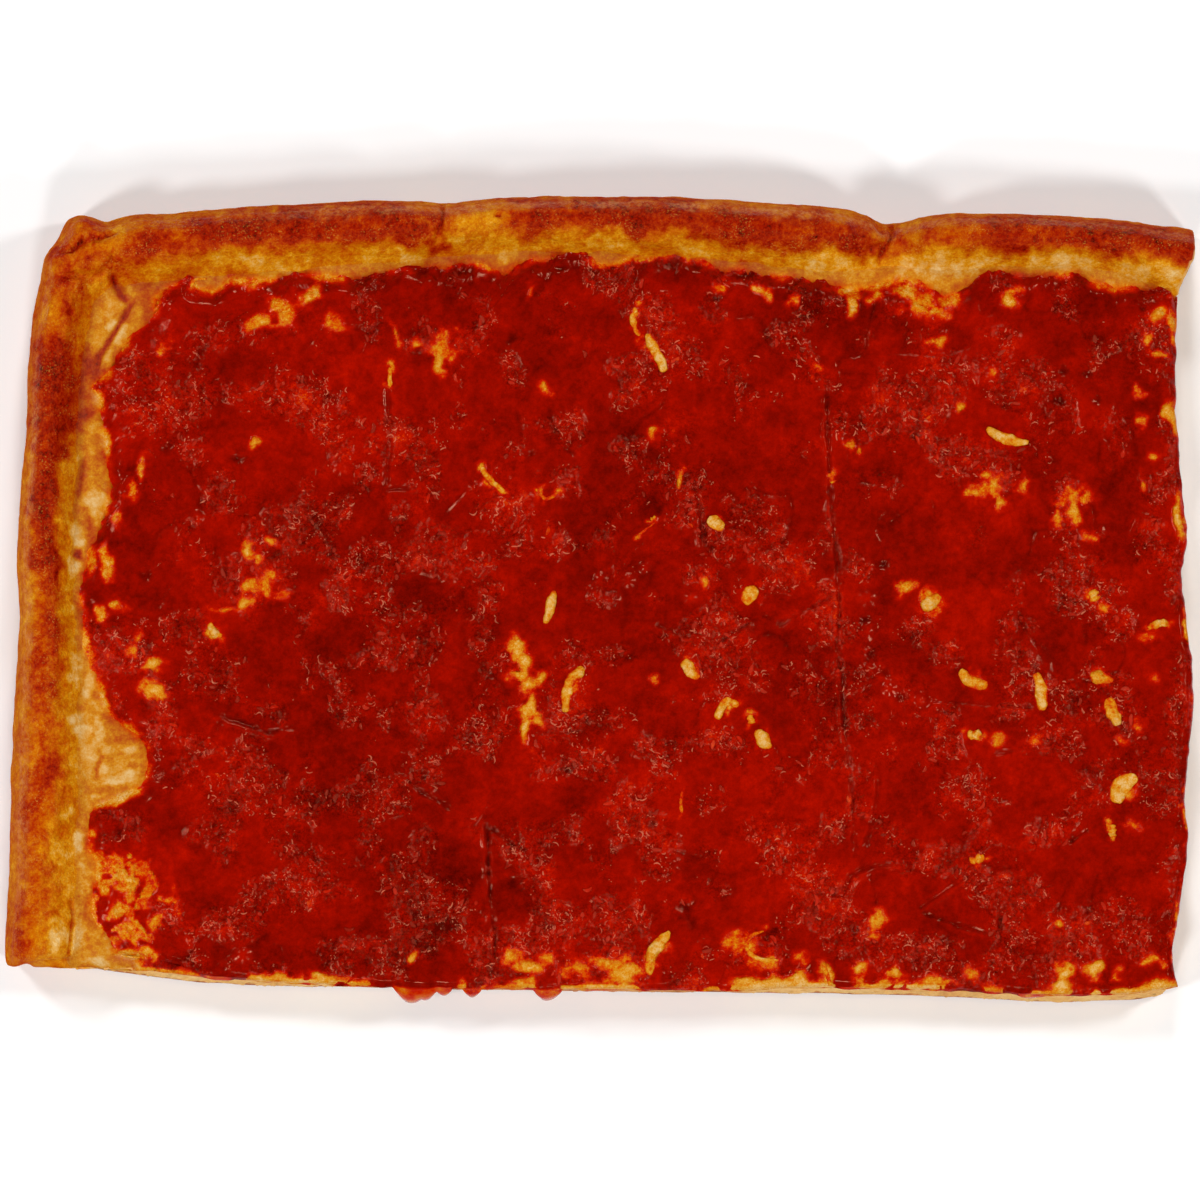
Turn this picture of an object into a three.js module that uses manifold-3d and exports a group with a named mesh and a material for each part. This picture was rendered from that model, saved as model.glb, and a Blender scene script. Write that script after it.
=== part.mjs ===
// Square pizza: a corner piece of a sheet-pan tomato pizza, a quarter of a full sheet.
// Two sides carry the browned rim that stood against the pan, and two sides are cut.
// From below: the dough with its rim, a thin layer of melted cheese, the tomato sauce,
// and the larger shreds of cheese that lie in the sauce.
// Millimetres, +Z up. The origin is the middle of the underside. X runs along the long side
// and Y towards the long rim.

import * as THREE from "three";
import { mergeVertices } from "three/addons/utils/BufferGeometryUtils.js";
import Module from "manifold-3d";

const wasm = await Module();
wasm.setup();

// Driving sizes
const SLAB_TOP = 14; // dough under the toppings
const CHEESE_THICKNESS = 1.5;
const SAUCE_THICKNESS = 2.7;
const RIM_CREST = 25; // top of the rim above the table
const RIM_FOOT_RADIUS = 7; // inside corner between the two rims
const LONG_CUT_FLARE = 2.2; // how far the dough bulges out below the long cut
const SHORT_CUT_FLARE = 0.3; // and below the short one
const PIECE_GAP = 0.3; // clearance between neighbouring pieces
const TRIM_DEPTH = 1; // what is cut off flat from under the dough
const FINEST = 0.08; // smallest step that is kept on the uneven faces

const CHEESE_TOP = SLAB_TOP + CHEESE_THICKNESS;
const SAUCE_TOP = CHEESE_TOP + SAUCE_THICKNESS;

// Materials
const CRUST = new THREE.MeshStandardMaterial({ color: 0xb5651d, roughness: 0.55 });
const CHEESE = new THREE.MeshStandardMaterial({ color: 0xd9a55a, roughness: 0.45 });
const SAUCE = new THREE.MeshStandardMaterial({ color: 0x8f1206, roughness: 0.3 });

// A smooth line through [position, offset] pairs, as a function of position.
function through(pairs) {
  const value = (i) => pairs[Math.min(Math.max(i, 0), pairs.length - 1)];
  return (position) => {
    let i = 0;
    while (i < pairs.length - 2 && position > pairs[i + 1][0]) i += 1;
    const [before, from, to, after] = [value(i - 1), value(i), value(i + 1), value(i + 2)];
    const step = to[0] - from[0];
    const t = THREE.MathUtils.clamp((position - from[0]) / step, 0, 1);
    const slopeFrom = ((to[1] - before[1]) / (to[0] - before[0])) * step;
    const slopeTo = ((after[1] - from[1]) / (after[0] - from[0])) * step;
    const [t2, t3] = [t * t, t * t * t];
    return (
      (2 * t3 - 3 * t2 + 1) * from[1] +
      (t3 - 2 * t2 + t) * slopeFrom +
      (3 * t2 - 2 * t3) * to[1] +
      (t3 - t2) * slopeTo
    );
  };
}

// Smooth noise from -1 to 1, with one bump or dip for each cell of the given size.
function noise(x, y, cell, seed) {
  const corner = (i, j) => {
    const wave = Math.sin(i * 127.1 + j * 311.7 + seed * 74.7) * 43758.5453;
    return 2 * (wave - Math.floor(wave)) - 1;
  };
  const [gx, gy] = [x / cell, y / cell];
  const [i, j] = [Math.floor(gx), Math.floor(gy)];
  const [fx, fy] = [gx - i, gy - j].map((f) => f * f * (3 - 2 * f));
  const near = THREE.MathUtils.lerp(corner(i, j), corner(i + 1, j), fx);
  const far = THREE.MathUtils.lerp(corner(i, j + 1), corner(i + 1, j + 1), fx);
  return THREE.MathUtils.lerp(near, far, fy);
}

// A bump of height 1 at the middle that fades to 0 at the reach.
function bump(distance, reach) {
  const t = Math.max(0, 1 - Math.abs(distance) / reach);
  return t * t * (3 - 2 * t);
}

// Outer edges. The rim sides follow the pan, and the cut sides follow the knife.
const leftEdge = through([
  [-99.5, -164.3],
  [-80, -162.7],
  [-50, -162.2],
  [-28, -161.1],
  [0, -160],
  [14, -160.8],
  [28, -159.7],
  [44, -158.4],
  [66, -157.6],
  [84, -155.6],
  [94, -152.5],
]);
const topEdge = through([
  [-136, 104.3],
  [-129, 105.7],
  [-88, 109],
  [-60, 110.2],
  [-47, 109.9],
  [-43.2, 108.8],
  [-38, 110],
  [-26, 111.2],
  [22, 111.1],
  [43, 109.6],
  [63, 108.5],
  [72, 106.8],
  [80, 103.4],
  [87, 105.5],
  [105, 106.7],
  [139, 105.2],
  [164.4, 101.8],
]);
const rightCut = through([
  [-106, 158.6],
  [-99, 157.2],
  [-83, 159.6],
  [-66, 161.6],
  [-55, 160.7],
  [-28, 163.2],
  [-6, 161.5],
  [5, 159.9],
  [16, 161.5],
  [38, 159.6],
  [55, 158.5],
  [84, 159],
]);
const bottomCut = through([
  [-160, -99.2],
  [-143, -99.4],
  [-129, -101.2],
  [-109, -103.6],
  [-67, -104.8],
  [-33, -105.6],
  [29, -106.2],
  [91, -107.2],
  [119, -108.6],
  [146, -108.4],
  [158.6, -106.4],
]);
// Foot of the rim's inner slope, where it meets the flat dough.
const leftFoot = through([
  [-101, -142.5],
  [-50, -141],
  [0, -142.5],
  [45, -143],
  [80, -139],
]);
const topFoot = through([
  [-132, 84],
  [-112, 86.5],
  [-60, 90.5],
  [-20, 93.5],
  [20, 93],
  [60, 88.5],
  [80, 88],
  [120, 90],
  [164, 85],
]);
// Margin of the sauce along the two rims.
const sauceLeft = through([
  [-100, -127],
  [-94, -136],
  [-76, -140],
  [-60, -141],
  [-55, -134],
  [-48, -126.5],
  [-36, -130.5],
  [-28, -138.5],
  [-13, -142.5],
  [3, -143.5],
  [18, -139],
  [40, -137],
  [60, -137.5],
  [76, -129],
]);
const sauceTop = through([
  [-129, 76],
  [-113, 87],
  [-92, 89.5],
  [-60, 91.5],
  [-30, 93.5],
  [-9, 96],
  [16, 95.5],
  [27, 94],
  [33, 90.5],
  [63, 87.5],
  [73, 87.5],
  [80, 91.5],
  [95, 88],
  [116, 91],
  [134, 87.5],
  [158.8, 85.5],
]);

// Rim: one band of dough from the cut at the left side's lower end, round the corner,
// to the cut at the long side's right end.
const RIM_STEP = 5.4; // spacing of the rim's sections
const CORNER_OUTER = [
  [-149.5, 99.8],
  [-145, 104],
  [-139.5, 104.6],
];
const LONG_END_SLANT = 4.6; // the knife left the long rim's end at a slant
const SHORT_END_SLANT = 2.6;
// Section of the rim: share of the way from outer face to foot, and share of the crest's
// height. The last two points lie inside the dough.
const RIM_SECTION = [
  [0.07, 0],
  [0.0, 0.1],
  [0.0, 0.42],
  [0.03, 0.68],
  [0.12, 0.88],
  [0.26, 0.98],
  [0.42, 1.0],
  [0.58, 0.94],
  [0.73, 0.83],
  [0.87, 0.71],
  [1.0, 0.605],
  [1.13, 0.46],
  [0.9, 0],
];
// Where the knife and the dough's own seams pinch the long rim.
const PINCHES = [
  { x: -43.4, reach: 4, depth: 2.6 },
  { x: 80.3, reach: 13, depth: 6.5 },
];
// Creases where the dough is folded over at the corner, as [x, y] points.
const CORNER_CREASES = [
  [[-149.5, 95], [-142, 96.4], [-135, 99.8], [-131.6, 102.4]],
  [[-153.5, 89], [-145.5, 88.7], [-137.5, 89], [-134.4, 93], [-133.2, 99]],
  [[-134.8, 90.5], [-133, 85], [-129.8, 82], [-133, 76.5], [-136.5, 69.5], [-139.3, 61]],
];
const CREASE_WIDTH = 2.4;
const CREASE_DEPTH = 2.2;

// Lines that the knife and the spoon left in the sauce, as [x, y] points.
const SAUCE_GROOVES = [
  { path: [[64.6, 52], [65.5, 25], [66.4, 0], [67, -30], [69.5, -73]], width: 1.5, depth: 1.4 },
  { path: [[-30.5, -60], [-30.2, -80], [-29.2, -103]], width: 1.5, depth: 1.3 },
  { path: [[-58.5, 58], [-59, 45], [-57.5, 31]], width: 2.2, depth: 1.1 },
  { path: [[58, -81.5], [66, -80.5], [72, -75], [86, -71.5]], width: 1.7, depth: 1.3 },
  { path: [[104, -72.5], [96, -80], [88, -86.5], [101, -90.5], [121, -93]], width: 1.6, depth: 1.1 },
  { path: [[80, -27], [100, -28.6], [119, -30]], width: 1.2, depth: 0.8 },
  { path: [[24, 30], [27.5, 18], [30, 4]], width: 1.3, depth: 0.9 },
];

// The larger shreds of cheese in the sauce: the line each one lies along, and its width.
const SHREDS = [
  { path: [[14.1, -104], [13.6, -100], [15.6, -95.6], [19.5, -92]], width: 3.9 },
  { path: [[-12.7, 2], [-14.8, -7]], width: 2.9 },
  { path: [[-4.6, -19.4], [-8.6, -23.6], [-9.6, -31.4]], width: 3.3 },
  { path: [[13.4, 73], [15.4, 68], [17.6, 62.8]], width: 3.5 },
  { path: [[29.6, 22], [34.2, 19.4]], width: 4.8 },
  { path: [[39.4, -1.4], [43, 2.4]], width: 4.6 },
  { path: [[23, -17.6], [27.2, -22.2]], width: 3.3 },
  { path: [[32.2, -33.4], [34.4, -28.8], [38.2, -29.8]], width: 3.1 },
  { path: [[43.6, -36.6], [46.2, -41.6]], width: 4.5 },
  { path: [[99.2, -20.4], [103, -23.4], [106.6, -24.2]], width: 4.2 },
  { path: [[120, -21], [121.6, -26], [121.7, -31]], width: 3.4 },
  { path: [[135, -21.6], [141.4, -23]], width: 4 },
  { path: [[139.6, -27.6], [142.4, -35]], width: 4.2 },
  { path: [[88.8, -2.8], [93.8, 0.8]], width: 4.2 },
  { path: [[147.6, -49.4], [143.4, -51.6], [142, -56.6]], width: 5.4 },
  { path: [[106.4, 46.8], [112, 43.6], [118.4, 42.8]], width: 3.4 },
];
const SHRED_SUNK = 1.5; // how deep a shred lies in the sauce
const SHRED_PROUD = 0.75; // how far it stands above the sauce
const SHRED_SECTIONS = 5;
const SHRED_SIDES = 6;

// Melted patches where the cheese layer comes up through the sauce.
const PATCHES = [
  { x: -22.4, y: -17.5, long: 13, wide: 7, turn: -65 },
  { x: -19.8, y: -35.5, long: 9, wide: 6.5, turn: 60 },
  { x: -19.5, y: -100, long: 13, wide: 9, turn: 5 },
  { x: -88.6, y: 79.5, long: 14, wide: 6.5, turn: 58 },
  { x: -44, y: 65.5, long: 9, wide: 5, turn: 75 },
  { x: -96, y: 12, long: 12, wide: 5, turn: 80 },
  { x: -105.5, y: -8, long: 9, wide: 6, turn: -30 },
  { x: -123.6, y: -22, long: 13, wide: 6, turn: 85 },
  { x: -134.8, y: 9.5, long: 14, wide: 5, turn: 85 },
  { x: 108.4, y: 30.6, long: 12, wide: 6, turn: -55 },
  { x: 131.4, y: 24, long: 8.5, wide: 7, turn: -40 },
  { x: 114.2, y: 84, long: 7, wide: 5.5, turn: 80 },
  { x: 70, y: 81.2, long: 10, wide: 4.6, turn: 88 },
  { x: 75, y: -91, long: 9, wide: 7.5, turn: 20 },
  { x: 152.6, y: 69, long: 11, wide: 7, turn: 60 },
  { x: -134.4, y: -43.5, long: 9, wide: 6, turn: 40 },
  { x: -131, y: -51, long: 10, wide: 6, turn: -50 },
];
const PATCH_PROUD = 0.35;
const LUMP_SIDES = 8;

// Small crumbs of cheese stuck to the sauce.
const FLECKS = [
  { x: 9.8, y: 77.5, size: 3 },
  { x: 136.2, y: 0.2, size: 4 },
  { x: 153.2, y: -7.6, size: 4.4 },
  { x: 140.9, y: -64.4, size: 3.6 },
  { x: 104, y: -72.4, size: 4.4 },
  { x: 103, y: -37.6, size: 4 },
  { x: -126, y: 37, size: 4 },
  { x: -51.4, y: -99.6, size: 3.6 },
  { x: 64.2, y: 32.6, size: 3.2 },
  { x: -15.4, y: 57.4, size: 3 },
  { x: 42.5, y: -97, size: 4.2 },
  { x: 22.2, y: -60, size: 3 },
];

// Sauce that ran down over the lower cut: where, how wide and how far down.
const DRIPS = [
  { x: -105.5, width: 7, drop: 6 },
  { x: -50.5, width: 9, drop: 9.5 },
  { x: -14.5, width: 6, drop: 8 },
  { x: 70, width: 10, drop: 4.5 },
  { x: 119, width: 8, drop: 8.5 },
];

const DRIP_LEAN = 0.2;

// Turns a geometry into a solid for joining and cutting.
function solid(geometry) {
  const bare = geometry.clone();
  bare.deleteAttribute("normal");
  bare.deleteAttribute("uv");
  const merged = mergeVertices(bare, 1e-4);
  return new wasm.Manifold(
    new wasm.Mesh({
      numProp: 3,
      vertProperties: merged.getAttribute("position").array,
      triVerts: new Uint32Array(merged.getIndex().array),
    }),
  );
}

// Turns a solid back into a named mesh.
function piece(name, shape, material) {
  const { vertProperties, triVerts } = shape.getMesh();
  const geometry = new THREE.BufferGeometry();
  geometry.setAttribute("position", new THREE.BufferAttribute(vertProperties, 3));
  geometry.setIndex(new THREE.BufferAttribute(triVerts, 1));
  geometry.computeVertexNormals();
  const mesh = new THREE.Mesh(geometry, material);
  mesh.name = name;
  return mesh;
}

function geometryOf(points, triangles) {
  const geometry = new THREE.BufferGeometry();
  geometry.setAttribute(
    "position",
    new THREE.Float32BufferAttribute(points.flatMap((p) => [p.x, p.y, p.z]), 3),
  );
  geometry.setIndex(triangles.flat());
  return geometry;
}

// A closed skin over a row of loops that all have the same number of points. Each loop runs
// anticlockwise when it is seen from the last loop.
function loft(loops) {
  const around = loops[0].length;
  const triangles = [];
  for (let i = 0; i + 1 < loops.length; i += 1) {
    for (let j = 0; j < around; j += 1) {
      const [a, b] = [i * around + j, i * around + ((j + 1) % around)];
      triangles.push([a, b, b + around], [a, b + around, a + around]);
    }
  }
  for (let j = 1; j + 1 < around; j += 1) {
    const last = (loops.length - 1) * around;
    triangles.push([0, j + 1, j], [last, last + j, last + j + 1]);
  }
  return geometryOf(loops.flat(), triangles);
}

// A sheet over the patch between four edge lines: an uneven top, and a flat base.
function sheet(patch, columns, rows, top, base) {
  const points = [];
  const triangles = [];
  const index = (i, j) => j * (columns + 1) + i;
  for (let j = 0; j <= rows; j += 1) {
    for (let i = 0; i <= columns; i += 1) {
      const { x, y } = patch(i / columns, j / rows);
      points.push(new THREE.Vector3(x, y, top(x, y, i / columns, j / rows)));
    }
  }
  for (let j = 0; j < rows; j += 1) {
    for (let i = 0; i < columns; i += 1) {
      const corners = [index(i, j), index(i + 1, j), index(i + 1, j + 1), index(i, j + 1)];
      const [a, b, c, d] = (i + j) % 2 ? corners : [...corners.slice(1), corners[0]];
      triangles.push([a, b, c], [a, c, d]);
    }
  }
  const rimLine = [];
  for (let i = 0; i < columns; i += 1) rimLine.push(index(i, 0));
  for (let j = 0; j < rows; j += 1) rimLine.push(index(columns, j));
  for (let i = columns; i > 0; i -= 1) rimLine.push(index(i, rows));
  for (let j = rows; j > 0; j -= 1) rimLine.push(index(0, j));
  const under = points.length;
  rimLine.forEach((k) => points.push(points[k].clone().setZ(base)));
  rimLine.forEach((k, n) => {
    const next = (n + 1) % rimLine.length;
    triangles.push([k, under + n, under + next], [k, under + next, rimLine[next]]);
  });
  const outline = rimLine.map((k) => new THREE.Vector2(points[k].x, points[k].y));
  THREE.ShapeUtils.triangulateShape(outline, []).forEach(([a, b, c]) =>
    triangles.push([under + a, under + c, under + b]),
  );
  return geometryOf(points, triangles);
}

// Where a line across (x from y) meets a line along (y from x).
function meeting(across, along, y) {
  let corner = new THREE.Vector2(across(y), y);
  for (let i = 0; i < 20; i += 1) {
    corner = new THREE.Vector2(across(corner.y), along(corner.x));
  }
  return corner;
}

// The patch between four edge lines, from shares of its length and width.
function patchBetween(left, right, bottom, top) {
  const [low, high] = [-104, 85];
  const [leftLow, rightLow] = [meeting(left, bottom, low), meeting(right, bottom, low)];
  const [leftHigh, rightHigh] = [meeting(left, top, high), meeting(right, top, high)];
  const upEdge = (line, from, to, share) => {
    const y = THREE.MathUtils.lerp(from.y, to.y, share);
    return new THREE.Vector2(line(y), y);
  };
  const alongEdge = (line, from, to, share) => {
    const x = THREE.MathUtils.lerp(from.x, to.x, share);
    return new THREE.Vector2(x, line(x));
  };
  return (u, v) => {
    const across = upEdge(left, leftLow, leftHigh, v).lerp(upEdge(right, rightLow, rightHigh, v), u);
    const up = alongEdge(bottom, leftLow, rightLow, u).lerp(alongEdge(top, leftHigh, rightHigh, u), v);
    const straight = leftLow.clone().lerp(rightLow, u).lerp(leftHigh.clone().lerp(rightHigh, u), v);
    return across.add(up).sub(straight);
  };
}

// The outer line of the rim, evenly spaced.
function rimLine() {
  const points = [];
  for (let y = -99.5; y < 95; y += 6) points.push(new THREE.Vector2(leftEdge(y), y));
  CORNER_OUTER.forEach(([x, y]) => points.push(new THREE.Vector2(x, y)));
  for (let x = -136; x < 166; x += 6) points.push(new THREE.Vector2(x, topEdge(x)));
  const line = new THREE.SplineCurve(points);
  return line.getSpacedPoints(Math.round(line.getLength() / RIM_STEP));
}

// The foot of the rim nearest to a point of its outer line, with a rounded inside corner.
function footOf(outer) {
  const middle = new THREE.Vector2(
    leftFoot(80) + RIM_FOOT_RADIUS,
    topFoot(-132) - RIM_FOOT_RADIUS,
  );
  const away = outer.clone().sub(middle);
  if (away.x < 0 && away.y > 0) return away.setLength(RIM_FOOT_RADIUS).add(middle);
  if (away.y > 0) {
    const slant = LONG_END_SLANT * THREE.MathUtils.smoothstep(outer.x, 144, 164);
    return new THREE.Vector2(outer.x - slant, topFoot(outer.x) - 0.5 * slant);
  }
  const slant = SHORT_END_SLANT * THREE.MathUtils.smoothstep(-outer.y, 86, 99);
  return new THREE.Vector2(leftFoot(outer.y), outer.y + slant);
}

function crestAt(point) {
  const swell = 0.9 * noise(point.x, point.y, 26, 3) + 0.5 * noise(point.x, point.y, 11, 5);
  const pinched = PINCHES.map(({ x, reach, depth }) =>
    point.y > 80 ? depth * bump(point.x - x, reach) : 0,
  );
  return RIM_CREST + swell - Math.max(...pinched);
}

function rim(grow) {
  const loops = rimLine().map((outer, i, all) => {
    const foot = footOf(outer);
    const reach = foot.clone().sub(outer);
    const crest = crestAt(outer) + grow;
    const end = i === 0 || i === all.length - 1;
    const middle = outer.clone().addScaledVector(reach, 0.5);
    return RIM_SECTION.map(([across, up], k) => {
      const share = across + (across > 0.5 ? grow / reach.length() : 0);
      const spot = outer.clone().addScaledVector(reach, share);
      const lump = up > 0.5 ? 0.45 * noise(spot.x, spot.y, 7, 11 + k) : 0;
      const at = end ? spot.lerp(middle, 0.06) : spot;
      return new THREE.Vector3(at.x, at.y, up === 0 ? -2 * TRIM_DEPTH : up * crest + lump);
    });
  });
  return solid(loft(loops));
}

const CRUMB_ROUGH = 0.45;

// The flat dough. Its cut faces bulge a little, and its other edges lie inside the rim.
function slab(grow) {
  const outline = [];
  const hidden = 7;
  for (let x = -157; x < 156; x += 6) outline.push([x, bottomCut(x), 0, -LONG_CUT_FLARE]);
  for (let y = -105.6; y < 84; y += 5) outline.push([rightCut(y), y, SHORT_CUT_FLARE, 0]);
  for (let x = 156; x > -140; x -= 12) outline.push([x, topEdge(x) - hidden, 0, 0]);
  for (let y = 92; y > -98; y -= 12) outline.push([leftEdge(y) + hidden, y, 0, 0]);
  const levels = [
    [-TRIM_DEPTH, 0.8],
    [3, 1],
    [8, 0.62],
    [SLAB_TOP + grow, 0],
  ];
  const loops = levels.map(([z, bulge]) =>
    outline.map(([x, y, flareX, flareY]) => {
      const rough = grow + (z > 0 ? CRUMB_ROUGH * noise(x, y + z * 3, 5, 21) : 0);
      const outX = flareX * bulge + rough * Math.sign(flareX);
      const outY = flareY * bulge + rough * Math.sign(flareY);
      return new THREE.Vector3(x + outX, y + outY, z);
    }),
  );
  return solid(loft(loops));
}

// A wedge that cuts a crease along a line, from just over the surface down into it.
function wedge(path, width, depth, heightAt) {
  const line = new THREE.SplineCurve(path.map(([x, y]) => new THREE.Vector2(x, y)));
  const points = line.getSpacedPoints(Math.max(4, Math.round(line.getLength() / 5)));
  const loops = points.map((point, i, all) => {
    const ahead = all[Math.min(i + 1, all.length - 1)];
    const along = ahead.clone().sub(all[Math.max(i - 1, 0)]).normalize();
    const side = new THREE.Vector2(-along.y, along.x);
    const fade = i === 0 || i === all.length - 1 ? 0.35 : 1;
    const surface = heightAt(point.x, point.y);
    const corner = (across, up) =>
      new THREE.Vector3(point.x + side.x * across, point.y + side.y * across, surface + up);
    return [corner(0, -depth * fade), corner(width * fade, width), corner(-width * fade, width)];
  });
  return solid(loft(loops));
}

// Height of a solid's upper surface over a point.
function surfaceOf(shape) {
  const mesh = piece("surface", shape, new THREE.MeshBasicMaterial({ side: THREE.DoubleSide }));
  const above = new THREE.Vector3(0, 0, 100);
  const down = new THREE.Vector3(0, 0, -1);
  return (x, y) => {
    const hits = new THREE.Raycaster(above.clone().setX(x).setY(y), down).intersectObject(mesh);
    return hits.length ? hits[0].point.z : SLAB_TOP;
  };
}

function bread() {
  const whole = rim(0).add(slab(0));
  const height = surfaceOf(whole);
  const flat = whole.trimByPlane([0, 0, 1], 0);
  const creases = CORNER_CREASES.map((path) => wedge(path, CREASE_WIDTH / 2, CREASE_DEPTH, height));
  return creases.reduce((rest, crease) => rest.subtract(crease), flat).simplify(FINEST);
}

// Height of the sauce, with the swells and dents that the spoon left.
function sauceHeight(x, y) {
  const swell = 0.65 * noise(x, y, 31, 41) + 0.6 * noise(x, y, 16, 43);
  return SAUCE_TOP + swell + 0.5 * noise(x, y, 9, 47);
}

const CHEESE_INSET = 0.4; // the melted layer stops a little short of the cuts
const RIM_MARGIN = 2; // and short of the foot of the rim
const cheesePatch = (grow) =>
  patchBetween(
    (y) => leftFoot(y) + RIM_MARGIN,
    (y) => rightCut(y) - CHEESE_INSET + grow,
    (x) => bottomCut(x) + CHEESE_INSET - grow,
    (x) => topFoot(x) - RIM_MARGIN,
  );
const saucePatch = patchBetween(sauceLeft, rightCut, bottomCut, sauceTop);

// One melted lump, from inside the cheese layer up past the top of the sauce.
function cheeseLump({ x, y, long, wide, turn }, grow, headroom) {
  const rise = sauceHeight(x, y) + PATCH_PROUD - CHEESE_TOP;
  const domed = [[1.04, -1], [0.98, 0.55 * rise], [0.6, rise]];
  const open = [[1.04, -1], [0.98, rise + headroom]];
  const levels = headroom ? open : domed;
  const axis = new THREE.Vector3(0, 0, 1);
  const loops = levels.map(([share, up]) => {
    const loop = [];
    for (let k = 0; k < LUMP_SIDES; k += 1) {
      const angle = (2 * Math.PI * k) / LUMP_SIDES;
      const uneven = 1 + 0.22 * noise(x + 9 * Math.cos(angle), y + 9 * Math.sin(angle), 4, 81);
      const point = new THREE.Vector3(
        (share * uneven * long) / 2 + grow,
        0,
        CHEESE_TOP + up,
      );
      point.y = ((share * uneven * wide) / 2 + grow) * Math.sin(angle);
      point.x *= Math.cos(angle);
      point.applyAxisAngle(axis, THREE.MathUtils.degToRad(turn));
      loop.push(point.add(new THREE.Vector3(x, y, 0)));
    }
    return loop;
  });
  return solid(loft(loops));
}

function cheeseLayer(rimTool) {
  const layer = solid(sheet(cheesePatch(0), 14, 9, () => CHEESE_TOP, SLAB_TOP));
  const lumps = PATCHES.map((patch) => cheeseLump(patch, 0, 0));
  return lumps.reduce((rest, each) => rest.add(each), layer).subtract(rimTool);
}

// A shred of cheese: a flattened strand, thinner at its ends.
function shred({ path, width }, grow, headroom) {
  const points = path.map(([x, y]) => new THREE.Vector3(x, y, 0));
  const line = new THREE.CatmullRomCurve3(points);
  const loops = [];
  for (let i = 0; i < SHRED_SECTIONS; i += 1) {
    const t = i / (SHRED_SECTIONS - 1);
    const middle = line.getPoint(t);
    const along = line.getTangent(t);
    const side = new THREE.Vector3(-along.y, along.x, 0).normalize();
    const full = Math.sqrt(1 - 0.72 * (2 * t - 1) ** 2);
    const uneven = 1 + 0.14 * noise(middle.x, middle.y, 3, 71);
    const half = (width / 2) * full * uneven + grow;
    const surface = sauceHeight(middle.x, middle.y);
    const low = surface - SHRED_SUNK * full - grow;
    const high = surface + SHRED_PROUD * full + grow;
    const reach = (i === 0 ? -1 : i === SHRED_SECTIONS - 1 ? 1 : 0) * grow;
    const loop = [];
    for (let k = 0; k < SHRED_SIDES; k += 1) {
      const angle = (2 * Math.PI * (k + 0.5)) / SHRED_SIDES;
      const point = middle.clone().addScaledVector(along, reach);
      point.addScaledVector(side, half * Math.sin(angle));
      const upper = Math.cos(angle) < -0.1;
      point.z = (low + high) / 2 - ((high - low) / 2) * Math.cos(angle) + (upper ? headroom : 0);
      loop.push(point);
    }
    loops.push(loop);
  }
  return solid(loft(loops));
}

function fleck({ x, y, size }) {
  const surface = sauceHeight(x, y);
  const ring = (radius, up) => {
    const loop = [];
    for (let k = 0; k < 6; k += 1) {
      const angle = (Math.PI * k) / 3 + x;
      const at = new THREE.Vector2(radius * Math.cos(angle), 0.8 * radius * Math.sin(angle));
      loop.push(new THREE.Vector3(x + at.x, y + at.y, surface + up));
    }
    return loop;
  };
  return solid(loft([ring(size / 2, -0.9), ring(size / 2, 0.25), ring(size / 3.4, 0.7)]));
}

// A run of sauce that leans against the cut face.
function drip({ x, width, drop }) {
  const lean = new THREE.Matrix4().makeShear(0, 0, 0, 0, 0, 0);
  lean.elements[9] = DRIP_LEAN;
  const ball = new THREE.IcosahedronGeometry(1, 1);
  ball.scale(width / 2, 2, drop / 2 + 1);
  ball.translate(0, 0, 1 - drop / 2);
  ball.applyMatrix4(lean);
  ball.translate(x, bottomCut(x) - 0.5, CHEESE_TOP);
  return solid(ball);
}

function sauce(breadTool) {
  const top = (x, y, u, v) => {
    const cut = u > 0.999 || v < 0.001;
    const margin = u < 0.001 || v > 0.999;
    const share = margin ? 0.35 : cut ? 0.7 : 1;
    return THREE.MathUtils.lerp(CHEESE_TOP, sauceHeight(x, y), share);
  };
  const spread = solid(sheet(saucePatch, 42, 28, top, CHEESE_TOP));
  const added = [...DRIPS.map(drip), ...FLECKS.map(fleck)];
  const cuts = [
    breadTool,
    solid(sheet(cheesePatch(PIECE_GAP), 14, 9, () => CHEESE_TOP, SLAB_TOP)),
    ...PATCHES.map((patch) => cheeseLump(patch, PIECE_GAP, 3)),
    ...SHREDS.map((each) => shred(each, PIECE_GAP, 3)),
    ...SAUCE_GROOVES.map(({ path, width, depth }) =>
      wedge(path, width / 2, depth, sauceHeight),
    ),
  ];
  const whole = added.reduce((rest, each) => rest.add(each), spread);
  return cuts.reduce((rest, cut) => rest.subtract(cut), whole).simplify(FINEST);
}

const rimTool = rim(PIECE_GAP);
const pizza = new THREE.Group();
pizza.name = "square_pizza";
pizza.add(piece("bread", bread(), CRUST));
pizza.add(piece("cheese_layer", cheeseLayer(rimTool), CHEESE));
pizza.add(piece("tomato_sauce", sauce(rimTool.add(slab(PIECE_GAP))), SAUCE));
SHREDS.forEach((each, i) => {
  const name = `cheese_shred_${String(i + 1).padStart(2, "0")}`;
  pizza.add(piece(name, shred(each, 0, 0), CHEESE));
});

// The origin is moved to the middle of the underside.
const extent = new THREE.Box3().setFromObject(pizza);
const middle = extent.getCenter(new THREE.Vector3()).setZ(extent.min.z);
pizza.children.forEach((mesh) => mesh.geometry.translate(-middle.x, -middle.y, -middle.z));

export default pizza;
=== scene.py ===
# Looks of the square pizza: browned dough, melted cheese and wet tomato sauce.
# Sizes are in millimetres until a mesh is written, which is in metres. Places on the pizza are
# read on a square grid of 1200 steps seen from above, from the upper left, and turned into
# millimetres by at(). A tone is a place from 0 to 1 on one of the ramps of colours below.

import math

import bmesh
import bpy
import numpy as np
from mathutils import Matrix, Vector
from mathutils.bvhtree import BVHTree


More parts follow.
